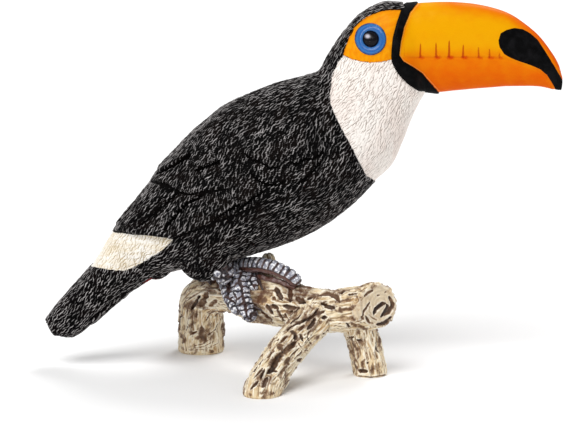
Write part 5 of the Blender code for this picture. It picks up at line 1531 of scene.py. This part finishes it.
def toe(path, inner, style, seed, nu=150, nv=76):
    """One scaly toe; inner(p) gives the way from a point to the perch middle."""
    nu, nv = int(nu * Q), int(nv * Q)
    rng = np.random.default_rng(seed)
    fine = np.linspace(0, len(path) - 1, 400)
    c = rows_at(path, fine)
    run = np.concatenate([[0], np.cumsum(np.linalg.norm(np.diff(c[:, :3], axis=0), axis=1))])
    length = run[-1]
    ends = 0.30
    w = np.linspace(0, 1, nu)
    s = np.interp(w * length, run, fine)
    rad = rows_at(path, s)[:, 3]
    tip = np.clip((length - w * length) / (rad[-1] * 1.0), 0, 1)
    taper = np.sqrt(np.clip(1 - (1 - tip) ** 2, 0, 1)) * 0.97 + 0.03
    root = np.sqrt(np.clip(1 - (1 - np.clip(w * length / rad[0], 0, 1)) ** 2, 0, 1)) * 0.97 + 0.03
    radius = (rad * taper * root)[:, None] * np.ones((1, nv))
    G, t, frames = sweep(path, s, nv, radius)
    mid = rows_at(path, s)[:, :3]
    down = np.array([inner(p) for p in mid])
    down = unit(down - np.sum(down * t, -1, keepdims=True) * t)
    side = np.cross(t, down)
    rel = G - mid[:, None]
    ang = np.arctan2(np.sum(rel * side[:, None], -1), -np.sum(rel * down[:, None], -1))   # 0 on the top
    along = (w * length)[:, None] * np.ones((1, nv))
    top = smooth(1.9, 1.3, np.abs(ang))
    if style == "band":
        pitch = 0.90
        k = along / pitch + 0.10 * np.sin(ang * 2 + seed) + 0.06 * waves(G, 2.0, seed, 1)
        f = k - np.floor(k)
        groove = np.maximum(np.exp(-(f / 0.15) ** 2), np.exp(-((1 - f) / 0.15) ** 2))
        bulge = np.sqrt(np.clip(1 - (2 * f - 1) ** 4, 0, 1))
        H = (0.20 * (bulge - 1) - 0.12 * groove) * top
        low = smooth(1.45, 2.0, np.abs(ang))
        H = H - 0.16 * np.exp(-((np.abs(ang) - 1.72) / 0.16) ** 2) - 0.05 * low * (1 + waves(G, 0.8, seed + 1, 2))
        groove = np.maximum(groove * top, np.exp(-((np.abs(ang) - 1.72) / 0.22) ** 2))
    elif style == "sole":
        # the whole sole strip takes the painted shade
        low = np.ones_like(ang)
        groove = 0.4 + 0.4 * waves(G, 1.0, seed, 2)
        H = 0.10 * waves(G, 1.1, seed + 3, 2)
    else:
        pitch, rows = 0.82, 5
        r = (ang + math.pi) / TAU * rows + 0.5 + 0.20 * waves(G, 2.4, seed + 2, 1)
        r = r % rows
        k = along / pitch + 0.5 * (np.floor(r) % 2) + 0.26 * waves(G, 1.9, seed, 2)
        fs, fr = k - np.floor(k), r - np.floor(r)
        box = np.maximum(np.abs(2 * fs - 1) ** 2.0, np.abs(2 * fr - 1) ** 2.4)
        box = np.maximum(box, 0.66 * (np.abs(2 * fs - 1) ** 2 + np.abs(2 * fr - 1) ** 2))
        H = 0.42 * (np.sqrt(np.clip(1 - box, 0, 1)) - 0.72) + 0.05 * waves(G, 0.7, seed + 6, 2)
        groove = smooth(0.32, 0.74, box)
        low = smooth(1.7, 2.4, np.abs(ang))
    N = unit(rel)
    G = G + (H * (taper * root)[:, None])[..., None] * N + 0.03 * waves(G, 1.2, seed + 5, 2)[..., None] * N
    N = grid_normals(G)
    if np.mean(np.sum(N * rel, -1)) < 0:
        N = -N
    return G, N, groove, low * np.ones_like(groove), np.zeros_like(groove)


def claw(points, r0, r1):
    path = np.array([(*p, r0 + (r1 - r0) * i / (len(points) - 1)) for i, p in enumerate(points)])
    s = np.linspace(0, len(path) - 1, 26)
    nv = 20
    f = np.linspace(0, 1, 26)
    cap = np.sqrt(np.clip(1 - (1 - np.minimum(f / 0.10, 1)) ** 2, 0.02, 1)) * np.clip((1 - f) / 0.10, 0.08, 1) ** 0.5
    G, t, _ = sweep(path, s, nv, (rows_at(path, s)[:, 3] * cap)[:, None] * np.ones((1, nv)))
    N = unit(G - rows_at(path, s)[:, None, :3])
    z = np.zeros(G.shape[:2])
    return G, N, z, z, z + 1


def on_perch(x, ang, lift):
    c, rad, up, near = perch_frame(x)
    q = math.radians(ang)
    return c + (rad + lift) * (math.cos(q) * up + math.sin(q) * near)


def build_feet():
    mat = foot_material()

    def inner(p):
        return unit(perch_frame(p[0])[0] - p)
    for label, sgn, toes in (("right", -1, TOES_RIGHT), ("left", 1, TOES_LEFT)):
        parts = []
        roots = []
        for i, steps in enumerate(toes):
            path = toe_path(steps, *(TOE_SIZE[i] if sgn < 0 else (1.08, 0.92)))
            roots.append(path[0][:3])
            style = "band" if i == 0 and sgn < 0 else "bead"
            parts.append(toe(path, inner, style, 100 + 10 * i + (3 if sgn > 0 else 0)))
            x, ang, _ = steps[-1]
            x0, a0, _ = steps[-2]
            if not (label == "right" and i in (0, 2, 3, 4)):
                pts = [on_perch(x + (x - x0) * f, ang + (ang - a0) * f, h)
                       for f, h in ((-0.12, 1.05), (0.25, 0.95), (0.62, 0.52), (0.90, 0.10))]
                parts.append(claw(pts, 0.42, 0.13))
        root = np.mean(roots, 0)
        shin = np.array([(THIGH_X + 0.4, sgn * 4.0, THIGH_Z + 0.3, 1.5), (THIGH_X + 2.4, sgn * 3.8, THIGH_Z - 0.4, 1.45),
                         (root[0] - 0.5, root[1], root[2] - 0.2, 1.45), (root[0] + 0.9, root[1] - 0.2 * sgn, root[2] - 0.9, 1.2)])
        parts.append(toe(shin, inner, "bead", 170, 120, 90))
        if label == "right":
            # a thin strip between the arch toe and the perch, painted dark brown all over as painted shade
            sole = toe_path([(-4.6, 20, 0.1), (-3.2, 20, 0.60), (-1.6, 20, 0.78), (0.05, 20, 0.72), (1.35, 20, 0.36),
                             (2.3, 20, -0.2)], 0.40, 0.36)
            parts.append(toe(sole, inner, "sole", 190, 110, 60))
            for steps, r in (([(-3.5, 4, 1.3), (-2.4, 20, 1.15), (-1.5, 34, 0.75), (-0.8, 52, 0.25)], 0.42),
                             ([(-2.6, 71, 1.2), (-1.9, 80, 1.05), (-1.15, 88, 0.70), (-0.5, 95, 0.25)], 0.42)):
                parts.append(claw([on_perch(*st) for st in steps], r, 0.12))
        V, att, faces, uvs, nrm, base = [], [[], [], []], [], [], [], 0
        cols = 4
        rows = math.ceil(len(parts) / cols)
        for k, (G, N, *fields) in enumerate(parts):
            n, m = G.shape[:2]
            quads, uv = grid_faces(n, m, True)
            v = G.reshape(-1, 3)
            q = quads[len(quads) // 2]
            if np.cross(v[q[1]] - v[q[0]], v[q[2]] - v[q[0]]) @ N.reshape(-1, 3)[q[0]] < 0:
                quads, uv = quads[:, ::-1], uv[:, ::-1]
            V.append(v)
            nrm.append(N.reshape(-1, 3))
            faces.append(quads + base)
            cell = np.array((k % cols, k // cols))
            uvs.append(((uv * 0.94 + 0.03 + cell) / (cols, rows)).reshape(-1, 2))
            for lst, fld in zip(att, fields):
                lst.append(fld.reshape(-1))
            base += n * m
        keys = ("groove", "under", "claw")
        ob = make_piece(f"foot_skin_{label}", np.vstack(V), faces,
                        {k: np.concatenate(a) for k, a in zip(keys, att)}, np.vstack(nrm), np.vstack(uvs))
        ob.data.materials.append(mat)
        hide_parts(f"foot_{label}")


def foot_material():
    n = Net("painted_foot")
    pos = n.place()
    cloud = n.noise(pos, 0.9, 3.0, 0.6)
    fine = n.noise(pos, 4.5, 3.0, 0.62)
    g = n.step(n.add(n.attr("groove"), n.mul(n.add(fine, -0.5), 0.8)), 0.08, 0.50)
    col = n.mix(n.step(cloud, 0.35, 0.65), (0.130, 0.132, 0.175), (0.330, 0.332, 0.390))
    # painted highlights: scattered near-white spots on the toes
    col = n.mix(n.step(n.noise(pos, 2.6, 3.0, 0.6), 0.49, 0.60, 0.0, 0.88), col, (0.940, 0.940, 0.960))
    wash = n.mix(n.step(cloud, 0.40, 0.60), (0.012, 0.007, 0.010), (0.060, 0.022, 0.015))
    col = n.mix(n.mul(g, 0.96), col, wash)
    # painted shade: dark brown on the toe undersides that face the perch, and over the whole sole strip
    u = n.step(n.add(n.attr("under"), n.mul(n.add(fine, -0.5), 0.5)), 0.25, 0.75)
    col = n.mix(n.mul(u, 0.85), col, (0.120, 0.045, 0.030))
    col = n.mix(n.step(n.attr("claw"), 0.4, 0.6), col, (0.035, 0.016, 0.014))
    n.bump(n.add(fine, n.mul(cloud, 0.5)), 0.10, 0.8)
    return n.done(col, n.add(0.36, n.mul(n.add(fine, -0.5), 0.25)), 0.50)


# ------------------------------------------------------------------ studio
def build_studio():
    me = bpy.data.meshes.new("floor")
    rim = [(1.5, 0.0), (2.0, 0.0), (2.2, 0.005), (2.4, 0.022), (2.6, 0.055), (2.8, 0.115), (2.95, 0.19),
           (3.05, 0.28), (3.10, 0.40)]
    seg = 96
    verts = [(r * math.cos(TAU * k / seg), r * math.sin(TAU * k / seg), z) for r, z in rim for k in range(seg)]
    faces = [tuple(range(seg))] + [(j * seg + k, j * seg + (k + 1) % seg, (j + 1) * seg + (k + 1) % seg, (j + 1) * seg + k)
                                   for j in range(len(rim) - 1) for k in range(seg)]
    faces = faces[:1] + [f[::-1] for f in faces[1:]]
    me.from_pydata(verts, [], faces)
    me.polygons.foreach_set("use_smooth", [False] + [True] * (len(faces) - 1))
    floor = bpy.data.objects.new("floor", me)
    bpy.context.scene.collection.objects.link(floor)
    mat = bpy.data.materials.new("paper")
    mat.use_nodes = True
    b = mat.node_tree.nodes["Principled BSDF"]
    b.inputs["Base Color"].default_value = (0.93, 0.93, 0.93, 1)
    b.inputs["Roughness"].default_value = 0.9
    b.inputs["Specular IOR Level"].default_value = 0.1
    me.materials.append(mat)
    world = bpy.data.worlds.new("studio") if bpy.context.scene.world is None else bpy.context.scene.world
    bpy.context.scene.world = world
    world.use_nodes = True
    bg = world.node_tree.nodes["Background"]
    bg.inputs[0].default_value = (1.0, 1.0, 1.0, 1)
    bg.inputs[1].default_value = 0.44
    for name, way, power, soft in (("key", (-0.32, -0.52, 0.79), 2.15, 38.0),
                                   ("back", (0.30, 0.58, 0.75), 1.2, 26.0)):
        li = bpy.data.lights.new(name, 'SUN')
        li.energy = power
        li.angle = math.radians(soft)
        ob = bpy.data.objects.new(name, li)
        ob.location = Vector(way) * 0.5
        ob.rotation_euler = Vector(way).to_track_quat('Z', 'Y').to_euler()
        bpy.context.scene.collection.objects.link(ob)
    cam = bpy.data.cameras.new("view")
    cam.sensor_width = 36.0
    cam.sensor_fit = 'HORIZONTAL'
    cam.lens = 36.0 * 450.0 / (563 * 0.14)
    cam.clip_start, cam.clip_end = 0.01, 20.0
    cob = bpy.data.objects.new("view", cam)
    eye = (EYE_AT - SHIFT) * MM
    aim = (np.array((0.0, 0.0, 21.1)) - SHIFT) * MM
    cob.location = eye
    cob.rotation_euler = Vector(aim - eye).to_track_quat('-Z', 'Y').to_euler()
    bpy.context.scene.collection.objects.link(cob)
    bpy.context.scene.camera = cob
    bpy.context.scene.view_settings.view_transform = 'Standard'


# ------------------------------------------------------------------ all
P_skin, *_ = build_skin()
build_bill()
build_eyes(P_skin)
build_branch()
build_feet()
build_studio()
